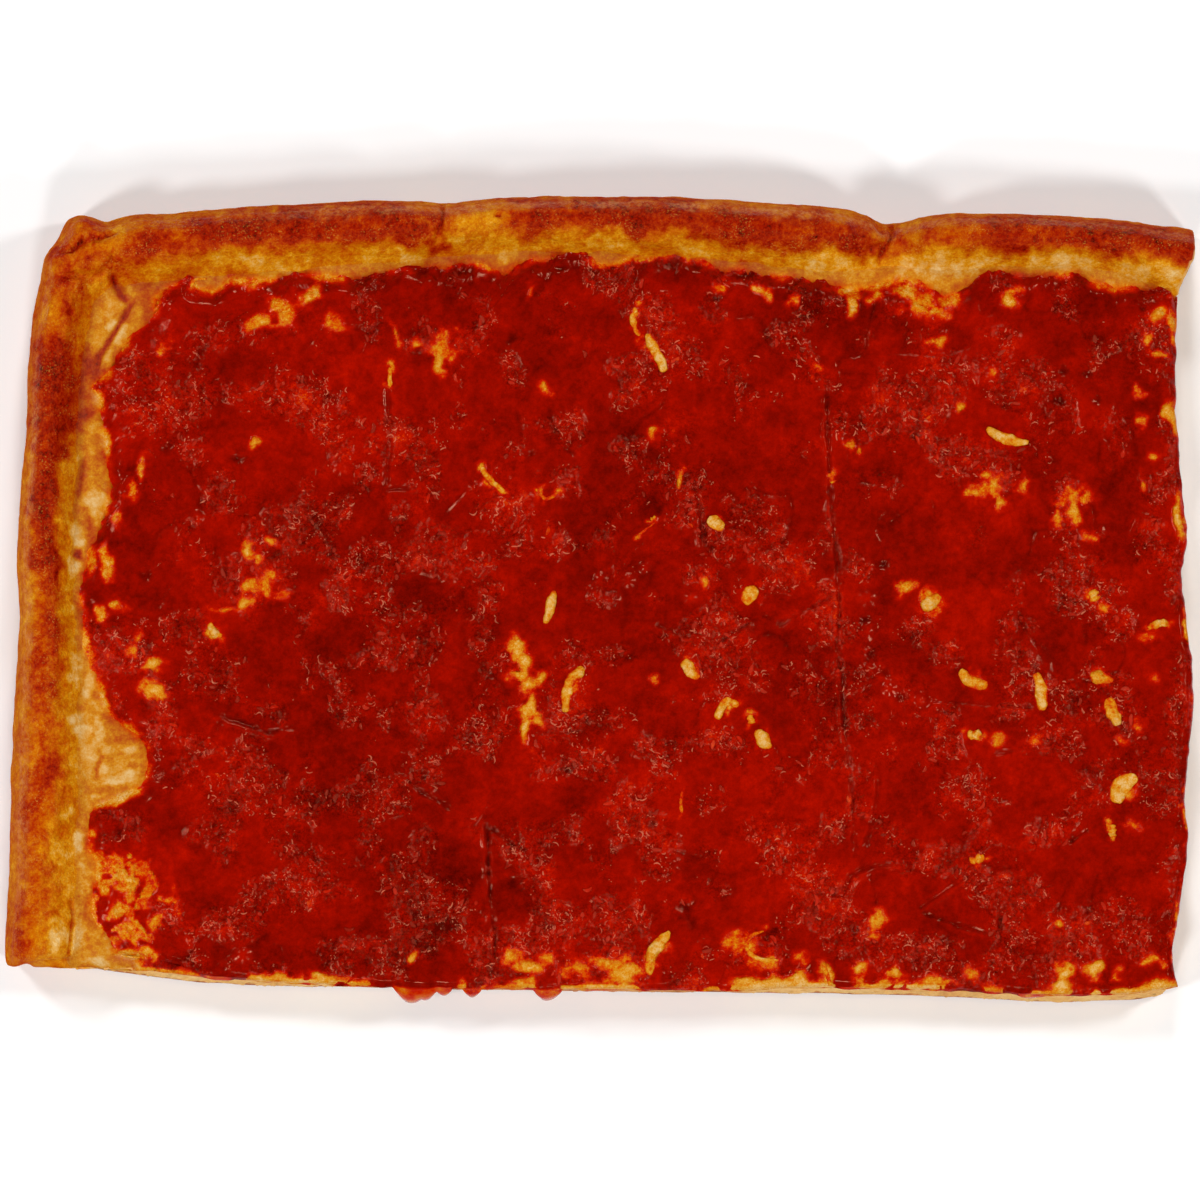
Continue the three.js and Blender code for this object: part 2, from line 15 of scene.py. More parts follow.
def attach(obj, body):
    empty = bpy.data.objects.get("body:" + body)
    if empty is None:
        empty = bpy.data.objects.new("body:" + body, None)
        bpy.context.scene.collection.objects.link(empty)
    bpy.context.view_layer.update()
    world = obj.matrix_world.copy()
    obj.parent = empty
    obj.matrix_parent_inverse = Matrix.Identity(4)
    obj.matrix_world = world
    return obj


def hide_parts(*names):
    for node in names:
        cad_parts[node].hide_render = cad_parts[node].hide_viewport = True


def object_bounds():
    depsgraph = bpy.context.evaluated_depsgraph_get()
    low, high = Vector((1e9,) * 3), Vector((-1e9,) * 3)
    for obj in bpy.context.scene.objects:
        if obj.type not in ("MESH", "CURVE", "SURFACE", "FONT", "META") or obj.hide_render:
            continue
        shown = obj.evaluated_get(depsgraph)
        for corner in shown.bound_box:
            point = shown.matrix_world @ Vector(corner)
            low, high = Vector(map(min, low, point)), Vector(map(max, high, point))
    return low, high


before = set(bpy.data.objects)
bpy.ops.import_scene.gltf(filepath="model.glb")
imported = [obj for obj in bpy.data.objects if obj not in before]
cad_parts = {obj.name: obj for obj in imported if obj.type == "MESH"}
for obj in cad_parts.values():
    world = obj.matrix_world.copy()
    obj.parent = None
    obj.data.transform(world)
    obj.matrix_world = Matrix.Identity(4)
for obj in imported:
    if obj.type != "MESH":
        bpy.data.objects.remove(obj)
first_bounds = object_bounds()

MM = 0.001
SOLID_BOX = np.array([list(corner) for corner in first_bounds]) / MM

# Driving sizes
GRID_STEP = 0.27569
GRID_MIDDLE = 599.5
ORIGIN_SHIFT = 0.25  # the origin lies this far below the grid's middle
SLAB_TOP = 14.0
CHEESE_TOP = 15.5
SAUCE_THICKNESS = 2.7
LONG_CUT_FLARE = 2.2
RIM_END = 84  # y where the long rim begins at the short cut
VOXEL = 0.70  # cell of the dough's remesh
CHEESE_SIZE = (304, 200)  # about how long and wide it is, which its cells are counted from
CHEESE_CELL = 0.6
CHEESE_HEM = 5  # cells that are turned down at each edge
UNDER_LEFT, UNDER_TOP = 5.0, 4.5  # how far the cheese runs under the foot of each rim
SAUCE_SIZE = (302, 198)
SAUCE_CELL = 0.44
SAUCE_HEM = 9
SAUCE_PIECES = 4
SHORT_OF_CUT = (-108, -120, 3.6)  # left of these the sauce stops that far above the long cut
FILLET = 1.1  # how softly the layer runs into the foot of the rim
CRESTS = (3.4, 100)  # width of the sauce's curled crests, and their seed
SHREDS = 16
TRIES = 40  # places looked at for each bit of tomato
THREAD_SIDES, THREAD_RINGS = 12, 18
MERGE = 0.01  # corners nearer than this to each other are one
RAY_START = 100  # height that surfaces are felt from
MARGIN_REACH = 20  # the small bays of the sauce's margin count within this of it
BOTTOM_GUESS, TOP_GUESS = -104.0, 85.0  # where the search for the corners of a sheet starts

# How far a form rises or sinks, and how bright or dark that makes it
CREST_RISE, FINE_CREST_RISE, GRAIN_RISE = 0.36, 0.12, 0.32
CRACK_DEPTH, CRACK_SHADE = 0.4, 0.16
BANK_SHADE, CUT_SHADE = 0.08, 0.2
PIT_DEPTH, PIT_SHADE = 0.55, 0.26
LUMP_SHADE = 0.16
PORE_DEPTH, SPECK_DEPTH = 0.75, 0.7
SHRED_RISE, SHRED_HEIGHT = 0.8, 0.7  # of its top over the sauce, and its share of the solid's height
THREAD_SINK, THREAD_HEIGHT = 0.12, 0.5

# Faces of the dough that are hidden lie this near to a level, and this far inside the cuts, the
# foot of the rims and, underneath, the outer edges
LEVEL_GAP, FROM_CUT, FROM_FOOT, FROM_EDGE = 0.3, 2, 2.5, 5

# Limits of the draws for the bits of tomato
THINNING = (0.2, 1.1)  # a bit stays where the sauce is more pulpy than this
FLANKS = (0.45, 0.98)  # strength of a crest where the bits that follow it lie
TONE_SPREAD = (-0.04, 0.16)
TURN_SPREAD = (-0.5, 0.5)

# Light and camera, in metres and degrees
CAMERA_ELEVATION = 86.5
CAMERA_DISTANCE = 3.0
SEEN_WIDTH = 0.3312  # width that fills the picture at the height of the aim
AIM_HEIGHT = 0.012
SENSOR = 36  # millimetres, as are its lengths
FLOOR_SIZE = 8
FLOOR_HEIGHT = -0.0004  # just clear of the underside
WORLD_LIGHT = 0.02
LIGHT_DISTANCE = 1.3
LIGHT_WIDTH = 0.2
# Azimuth from +X, elevation, power
LIGHTS = [(205, 44, 5.4), (262, 44, 4.6), (150, 44, 4.4), (85, 42, 4.0), (20, 44, 4.9), (320, 44, 4.7)]

# Ramps of colours: place on the ramp, and red, green and blue from 0 to 255
CRUST_TONES = [
    (0.00, (230, 190, 122)), (0.14, (221, 166, 82)), (0.30, (212, 139, 13)),
    (0.45, (194, 104, 2)), (0.58, (182, 77, 0)), (0.70, (168, 45, 0)), (0.82, (148, 18, 0)),
    (0.92, (118, 8, 0)), (1.00, (60, 4, 2)),
]  # fmt: skip
TOPPING_TONES = [
    (0.00, (78, 3, 0)), (0.15, (112, 6, 0)), (0.30, (142, 9, 0)), (0.42, (166, 13, 0)),
    (0.52, (186, 24, 0)), (0.62, (194, 62, 1)), (0.72, (199, 102, 4)), (0.82, (204, 132, 18)),
    (0.92, (209, 150, 60)), (1.00, (215, 168, 100)),
]  # fmt: skip
CRUMB_TONES = [
    (0.00, (238, 200, 138)), (0.40, (224, 170, 98)), (0.70, (205, 132, 84)),
    (1.00, (150, 84, 26)),
]  # fmt: skip
SHEEN = (204, 127, 64)  # painted sheen: the glancing reflection along the outer edge of the rims, given as a wrinkled pattern
GLINT_FLECKS = (214, 156, 62)  # painted highlights: small pale flecks in place of the glints of the oily crust
BARE_CHEESE_SHADE = (122, 72, 44)  # painted shade: takes the glare off the bare cheese, which lies level and gets more light than the slope beside it
SKIN_GLINT = (205, 116, 84)  # painted highlights: the pale pink of the thin bits of tomato, which stand in for glints on the wet sauce

# Bits of crushed tomato in the sauce. Each is a ball, subdivided in so many rounds, whose half width,
# stretch, bend and paleness are drawn between these limits. Some follow the sauce's crests. Their
# paleness is a painted highlight: the pale skins and grains along the crests stand in for the glints of
# the wet sauce.
BITS = [
    dict(
        name="tomato_pulp", seed=5, count=1300, rounds=2, widths=(0.28, 0.6), stretches=(1.0, 3.0),
        bends=0.5, glint_shares=(0.0, 0.1), follow=False,
    ),
    dict(
        name="tomato_skins_and_glints", seed=6, count=1800, rounds=2, widths=(0.12, 0.23), stretches=(2.0, 5.5),
        bends=1.0, glint_shares=(0.15, 0.7), follow=True,
    ),
    dict(
        name="tomato_grains_and_glints", seed=7, count=5200, rounds=1, widths=(0.11, 0.22), stretches=(1.0, 2.0),
        bends=0.4, glint_shares=(0.1, 0.7), follow=True,
    ),
]  # fmt: skip


def at(column, row):
    """Millimetres of a place that was read on the grid of steps."""
    return (column - GRID_MIDDLE) * GRID_STEP, (GRID_MIDDLE - row) * GRID_STEP + ORIGIN_SHIFT


def grid_place(x, y):
    """Column and row on the grid of steps of places in millimetres."""
    return x / GRID_STEP + GRID_MIDDLE, GRID_MIDDLE - (y - ORIGIN_SHIFT) / GRID_STEP


def places(points):
    """Millimetres of a line of places on the grid."""
    return np.array([at(column, row) for column, row in points])


def linear(colour):
    """Linear light of a colour given as 0 to 255."""
    part = np.array(colour) / 255
    return np.where(part <= 0.04045, part / 12.92, ((part + 0.055) / 1.055) ** 2.4)


def smooth_step(low, high, value):
    """0 at low and 1 at high, with a soft start and end. Low may be the greater of the two."""
    t = np.clip((value - low) / (high - low), 0, 1)
    return t * t * (3 - 2 * t)


def mix(a, b, share):
    """a where the share is 0, b where it is 1."""
    return a * (1 - share) + b * share


def between(value, start, full, fading, end):
    """1 from full to fading, falling softly to 0 at start and end."""
    return smooth_step(start, full, value) * smooth_step(end, fading, value)


def line(points):
    """A smooth line through (position, offset) pairs, as a function of position."""
    spots, offsets = np.array(points).T
    before, after = np.r_[0, np.arange(len(spots) - 1)], np.r_[np.arange(1, len(spots)), -1]
    slopes = (offsets[after] - offsets[before]) / (spots[after] - spots[before])

    def value(position):
        position = np.clip(position, spots[0], spots[-1])
        i = np.clip(np.searchsorted(spots, position) - 1, 0, len(spots) - 2)
        step = spots[i + 1] - spots[i]
        t = (position - spots[i]) / step
        return (
            (2 * t**3 - 3 * t**2 + 1) * offsets[i]
            + (t**3 - 2 * t**2 + t) * step * slopes[i]
            + (3 * t**2 - 2 * t**3) * offsets[i + 1]
            + (t**3 - t**2) * step * slopes[i + 1]
        )

    return value


# Outer edges, cuts and the foot of the rim, in millimetres
LEFT_EDGE = line(
    [(-99.5, -164.3), (-80, -162.7), (-50, -162.2), (-28, -161.1), (0, -160), (14, -160.8),
     (28, -159.7), (44, -158.4), (66, -157.6), (84, -155.6), (94, -152.5), (101, -146)]
)  # fmt: skip
TOP_EDGE = line(
    [(-145, 102), (-136, 104.3), (-129, 105.7), (-88, 109), (-60, 110.2), (-47, 109.9),
     (-43.2, 108.8), (-38, 110), (-26, 111.2), (22, 111.1), (43, 109.6), (63, 108.5),
     (72, 106.8), (80, 103.4), (87, 105.5), (105, 106.7), (139, 105.2), (164.4, 101.8)]
)  # fmt: skip
RIGHT_CUT = line(
    [(-106, 158.6), (-99, 157.2), (-83, 159.6), (-66, 161.6), (-55, 160.7), (-28, 163.2),
     (-6, 161.5), (5, 159.9), (16, 161.5), (38, 159.6), (55, 158.5), (84, 159)]
)  # fmt: skip
BOTTOM_CUT = line(
    [(-160, -99.2), (-143, -99.4), (-129, -101.2), (-109, -103.6), (-67, -104.8),
     (-33, -105.6), (29, -106.2), (91, -107.2), (119, -108.6), (146, -108.4), (158.6, -106.4)]
)  # fmt: skip
# How far the upper edge of the long cut is filled out over its foot
FULL_EDGE = line(
    [(-160, 2.2), (-140, 1.8), (-122, 0.5), (-104, 0.6), (-88, 1.2), (-60, 1.6), (0, 1.5),
     (40, 1.3), (52, 0.5), (90, 0.3), (159, 0.2)]
)  # fmt: skip
LEFT_FOOT = line([(-101, -142.5), (-50, -141), (0, -142.5), (45, -143), (80, -139)])
TOP_FOOT = line(
    [(-132, 84), (-112, 86.5), (-60, 90.5), (-20, 93.5), (20, 93), (60, 88.5), (80, 88),
     (120, 90), (164, 85)]
)  # fmt: skip

# Margin of the sauce along the two rims, in grid steps
TOP_MARGIN = [
    (150, 298), (163, 286), (179, 279), (189, 273), (199, 286), (215, 287), (226, 276),
    (268, 276), (306, 269), (344, 276), (383, 268), (430, 262), (442, 266), (455, 260),
    (480, 262), (490, 268), (504, 271), (516, 262), (530, 256), (545, 257), (557, 250),
    (570, 250), (585, 255), (600, 262), (612, 262), (625, 256), (640, 254), (660, 252),
    (680, 252), (690, 258), (701, 255), (712, 262), (725, 268), (738, 265), (748, 269),
    (760, 272), (790, 274), (840, 285), (872, 284), (896, 276), (921, 281), (947, 292),
    (964, 286), (976, 275), (990, 270), (1005, 268), (1025, 272), (1050, 272), (1078, 270),
    (1091, 278), (1110, 285), (1140, 285), (1165, 286), (1180, 298),
]  # fmt: skip
LEFT_MARGIN = [
    (134, 963), (115, 956), (107, 940), (88, 913), (92, 890), (95, 867), (85, 850), (88, 822),
    (95, 806), (115, 797), (140, 785), (145, 768), (141, 746), (130, 735), (109, 717),
    (100, 704), (97, 690), (90, 665), (83, 650), (80, 630), (77, 600), (80, 579), (96, 533),
    (107, 494), (103, 456), (96, 410), (90, 386), (105, 372), (113, 358), (125, 341),
    (138, 328), (150, 316),
]  # fmt: skip

# Lines scored or dragged through the sauce: points, half width, depth, lip to the right
GROOVES = [
    ([(827, 376), (827, 426), (828, 445), (831, 506), (837, 563), (839, 611), (837, 650),
      (842, 675), (843, 723), (847, 751), (851, 788), (854, 846), (852, 868)], 0.6, 1.0, 0.4),
    ([(879, 780), (874, 814), (864, 850)], 0.7, 0.8, 0.4),
    ([(486, 822), (488, 846), (489, 877), (491, 904), (495, 934), (495, 965)], 0.6, 1.2, 0.5),
    ([(491, 829), (512, 846), (526, 853)], 0.6, 0.8, 0.5),
    ([(386, 385), (388, 440), (385, 491)], 1.1, 0.9, -0.5),
    ([(385, 491), (417, 487)], 0.8, 0.9, 0.4),
    ([(405, 780), (422, 795), (442, 804), (455, 816)], 0.6, 0.8, 0.4),
    ([(207, 709), (226, 719), (249, 726), (268, 734), (300, 728)], 0.8, 0.7, 0.4),
    ([(808, 892), (816, 896), (841, 896), (849, 877), (868, 868), (898, 864)], 0.8, 1.2, 0.5),
    ([(812, 900), (816, 923)], 0.7, 0.8, 0.3),
    ([(927, 702), (975, 706), (1034, 709)], 0.5, 0.9, 0.4),
    ([(992, 755), (1045, 749)], 0.6, 0.9, 0.3), ([(715, 646), (751, 623)], 0.6, 0.8, 0.4),
    ([(776, 627), (833, 598)], 0.6, 0.8, 0.4), ([(1068, 845), (1087, 831)], 0.6, 0.7, 0.3),
    ([(996, 892), (999, 933)], 0.6, 0.6, 0.3), ([(655, 625), (690, 640)], 0.6, 0.8, 0.4),
    ([(916, 912), (940, 922), (986, 935)], 0.5, 0.6, 0.2),
    ([(916, 912), (940, 896), (978, 871)], 0.5, 0.5, 0.2),
    ([(693, 480), (700, 510), (705, 550)], 0.8, 0.9, 0.5),
]  # fmt: skip

# Dark pits: place, half length, half width, depth
PITS = [
    (417, 914, 2.0, 2.6, 2.0), (682, 908, 1.7, 1.2, 1.3), (652, 827, 1.7, 1.2, 1.2),
    (570, 451, 1.8, 1.4, 1.1), (532, 456, 1.8, 1.2, 1.1), (238, 461, 2.0, 1.2, 1.3),
    (167, 449, 1.8, 1.4, 1.2), (332, 558, 1.6, 1.2, 1.0), (144, 577, 1.8, 2.0, 1.3),
    (510, 340, 1.6, 1.2, 1.0), (742, 276, 2.2, 1.2, 1.2), (698, 265, 2.0, 1.0, 1.2),
    (420, 272, 2.2, 1.1, 1.2), (462, 274, 2.2, 1.1, 1.2), (860, 443, 1.6, 1.2, 1.1),
    (883, 565, 1.8, 1.4, 1.1), (1064, 371, 1.6, 1.2, 1.1), (1086, 375, 1.6, 1.2, 1.1),
    (1097, 400, 1.5, 1.3, 1.0), (1058, 403, 1.5, 1.2, 1.0), (570, 770, 1.6, 1.2, 1.0),
    (866, 622, 1.6, 1.0, 1.2), (872, 655, 1.4, 1.6, 1.2), (884, 674, 1.6, 1.0, 1.2),
    (900, 700, 1.8, 1.2, 1.2), (716, 300, 2.4, 1.0, 1.0), (560, 268, 2.4, 1.0, 1.0),
]  # fmt: skip

# Lumps of tomato: place, radius, height
LUMPS = [
    (921, 702, 2.2, 1.5), (866, 635, 2.6, 1.0), (866, 600, 3.0, 0.9), (866, 671, 2.2, 1.0),
    (889, 690, 2.4, 1.0), (414, 560, 2.0, 0.9), (429, 569, 2.4, 1.0), (442, 562, 1.9, 0.9),
    (452, 577, 2.0, 0.9), (383, 586, 2.2, 0.9), (612, 602, 2.6, 1.0), (628, 583, 2.4, 1.0),
    (645, 569, 2.2, 0.9), (113, 945, 2.8, 1.1), (243, 956, 3.0, 0.9), (596, 596, 2.2, 0.9),
    (340, 470, 2.4, 0.8), (300, 400, 2.6, 0.8), (196, 520, 2.4, 0.9), (560, 540, 2.2, 0.8),
    (690, 600, 2.2, 0.8), (600, 580, 2.0, 0.9), (120, 888, 3.2, 0.6),
]  # fmt: skip

# Zones that the knife or spoon smeared smooth: place, half length, half width, turn
SMOOTH_ZONES = [
    (745, 450, 26, 14, -20), (415, 590, 12, 7, 10), (1100, 860, 22, 17, 35),
    (1000, 560, 24, 10, 10), (780, 640, 14, 20, 20), (800, 500, 8, 24, 0), (950, 915, 12, 6, 25),
    (455, 860, 12, 13, 0), (560, 800, 18, 10, 15), (660, 720, 14, 8, -15), (1070, 640, 14, 8, 20),
    (640, 420, 16, 7, 10), (900, 800, 10, 14, 0), (340, 640, 16, 9, 20), (1120, 500, 9, 14, 0),
    (250, 370, 14, 7, 10), (700, 870, 14, 6, -10), (180, 820, 12, 8, 0),
]  # fmt: skip

# Sauce that ran down over the long cut: column, half width, length, how far it stands out
RUNS = [
    (218, 4.6, 2.6, 0.6), (411, 5.0, 8.5, 3.0), (424, 4.0, 7.0, 2.4), (443, 2.6, 6.0, 1.6),
    (472, 2.6, 6.0, 1.8), (548, 4.0, 6.5, 2.4), (600, 6.0, 1.6, 0.3), (853, 5.5, 1.8, 0.3),
    (1030, 4.0, 5.0, 0.8),
]  # fmt: skip

# Places along the rim, in grid steps from the upper left: strength of the browning
TOP_BROWN = line(
    [(0, 0.12), (180, 0.12), (212, 0.85), (300, 1.05), (400, 0.9), (432, 0.5), (455, 0.2),
     (510, 0.25), (545, 0.8), (640, 1.0), (800, 1.0), (850, 0.75), (880, 0.4), (915, 0.25),
     (960, 0.5), (990, 0.95), (1130, 0.9), (1190, 0.6)]
)  # fmt: skip
LEFT_BROWN = line(
    [(240, 0.1), (325, 0.15), (350, 0.7), (380, 0.9), (470, 1.0), (560, 0.8), (620, 0.55),
     (700, 0.5), (780, 0.5), (850, 0.35), (920, 0.15), (970, 0.1)]
)  # fmt: skip

# Strength of the painted sheen along each rim, from the upper left
TOP_SHEEN = line(
    [(0, 0.0), (200, 0.1), (300, 0.4), (440, 0.7), (860, 0.7), (905, 0.2), (980, 0.6), (1190, 0.5)]
)  # fmt: skip
LEFT_SHEEN = line([(200, 0.0), (330, 0.2), (380, 0.6), (560, 0.7), (880, 0.7), (950, 0.1)])

# Strength of the melted cheese along the long cut, by column
BOTTOM_CHEESE = line(
    [(130, 0.9), (190, 0.5), (215, 0.0), (245, 0.2), (262, 0.8), (340, 0.75), (356, 0.4),
     (440, 0.35), (500, 0.4), (520, 0.6), (570, 0.8), (620, 0.75), (645, 0.35), (690, 0.4),
     (720, 0.3), (742, 0.5), (758, 0.9), (825, 0.9), (845, 0.3), (872, 0.7), (920, 0.85),
     (1000, 0.6), (1050, 0.9), (1100, 0.85), (1150, 0.75), (1180, 0.7)]
)  # fmt: skip

# Folds where the dough was tucked in: points, half width, depth
FOLDS = [
    ([(58, 256), (72, 254), (83, 249), (94, 244), (104, 240), (116, 236)], 0.45, 1.1),
    ([(83, 249), (82, 243)], 0.45, 0.8),
    ([(47, 277), (60, 281), (75, 278), (92, 281), (107, 275)], 0.9, 0.4),
    ([(113, 250), (111, 262), (111, 275)], 0.4, 0.4),
    ([(111, 276), (115, 287), (121, 297), (128, 303)], 1.1, 1.5),
    ([(134, 299), (129, 307), (120, 322), (112, 335), (104, 348), (97, 358), (95, 378)], 0.8, 1.6),
    ([(105, 755), (99, 764), (96, 773), (98, 781)], 0.6, 0.5),
    ([(72, 903), (74, 915), (73, 928), (71, 944), (69, 960)], 0.45, 0.6),
    ([(85, 455), (80, 480), (77, 500)], 0.9, 0.5), ([(86, 510), (92, 540), (95, 560)], 0.9, 0.5),
    ([(442, 200), (442, 216), (437, 240)], 0.6, 1.3),
    ([(893, 214), (890, 235), (880, 262)], 0.8, 1.6), ([(862, 210), (874, 222), (886, 236)], 0.8, 0.8),
    ([(898, 228), (884, 244), (866, 252)], 0.7, 0.7),
]  # fmt: skip

# Pale places, brown places and dark specks on the dough: place, half length, half width. The few pale
# places beside the corner folds are painted highlights on their edges.
PALE_PLACES = [
    (96, 502, 4.0, 3.0), (98, 516, 2.4, 3.2), (78, 536, 2.4, 4.4), (73, 572, 2.4, 4.0),
    (75, 664, 2.4, 3.0), (70, 681, 1.2, 1.6), (88, 689, 1.8, 3.6), (95, 703, 1.6, 1.6),
    (71, 722, 2.2, 1.6), (84, 731, 2.6, 1.6), (99, 722, 1.6, 2.4), (101, 735, 1.6, 3.0),
    (90, 752, 3.4, 3.4), (84, 741, 2.0, 2.4), (104, 750, 1.8, 2.4), (128, 752, 2.4, 1.4),
    (104, 771, 1.6, 2.0), (112, 782, 2.6, 1.6), (125, 781, 2.6, 1.4), (131, 776, 1.6, 1.2),
    (96, 798, 2.8, 1.2), (72, 812, 1.2, 2.4), (79, 843, 1.8, 3.6), (82, 867, 1.4, 1.4),
    (94, 896, 2.6, 3.4), (58, 935, 2.6, 5.4), (76, 942, 3.0, 3.4), (100, 963, 3.0, 1.6),
    (410, 257, 8.0, 2.6), (475, 240, 7.0, 6.0), (540, 248, 4.0, 2.6), (610, 243, 11.0, 2.2),
    (722, 248, 11.0, 2.8), (930, 266, 9.0, 4.4), (1090, 262, 10.0, 2.2), (1140, 262, 6.0, 3.0),
    (250, 266, 8.0, 2.6), (908, 236, 4.0, 4.0), (830, 262, 8.0, 3.0), (119, 236, 2.2, 2.8),
    (108, 246, 3.4, 1.8), (104, 361, 2.4, 3.4), (116, 332, 2.4, 4.0), (105, 825, 1.6, 2.0),
    (120, 252, 1.6, 3.0), (1175, 285, 4.0, 4.0), (860, 275, 7.0, 2.6),
]  # fmt: skip
BROWN_PLACES = [
    (62, 284, 2.2, 1.6), (155, 258, 2.4, 1.2), (178, 255, 3.4, 1.2), (842, 248, 1.6, 1.6),
    (165, 246, 11.0, 5.0), (152, 291, 5.0, 3.4), (172, 280, 5.0, 2.0), (52, 250, 4.0, 4.0),
    (126, 740, 3.4, 1.6), (133, 767, 2.4, 0.9), (104, 790, 2.6, 1.0), (45, 380, 5.0, 4.0),
    (533, 228, 2.6, 4.4), (897, 234, 1.8, 2.2), (148, 303, 3.4, 2.2), (78, 711, 1.8, 1.8),
    (81, 291, 0.9, 2.0),
]  # fmt: skip
DARK_SPECKS = [
    (107, 457, 1.2, 1.0), (77, 556, 1.3, 1.5), (82, 248, 1.1, 0.9), (93, 241, 1.0, 0.8),
    (70, 315, 1.1, 1.0), (498, 218, 0.8, 0.6), (512, 216, 0.8, 0.6), (563, 215, 0.8, 0.6),
    (615, 216, 0.8, 0.6), (668, 216, 0.8, 0.6),
]  # fmt: skip

# Broad swellings of darker dough: place, half length, half width
LOBES = [
    (155, 240, 12.0, 7.0), (95, 270, 15.0, 15.0), (130, 265, 8.0, 9.0), (70, 372, 14.0, 7.0),
    (20, 930, 4.0, 6.0),
]  # fmt: skip

# Burnt crumbs that stuck to the outer edge of the long rim: first and last column
BURNT = [(288, 402), (492, 536), (568, 592), (600, 706)]

# Where the corner and the ends of the rim swell or shrink: place, radius, move along x and y
SWELLS = [
    (78, 232, 8.0, -0.6, 2.6), (50, 262, 7.0, -1.0, 0.4), (140, 222, 8.0, 0.0, 0.8),
    (4, 968, 5.0, 0.9, 0.9), (40, 968, 12.0, 0.0, 0.5), (1185, 250, 12.0, 2.0, 0.0),
]  # fmt: skip

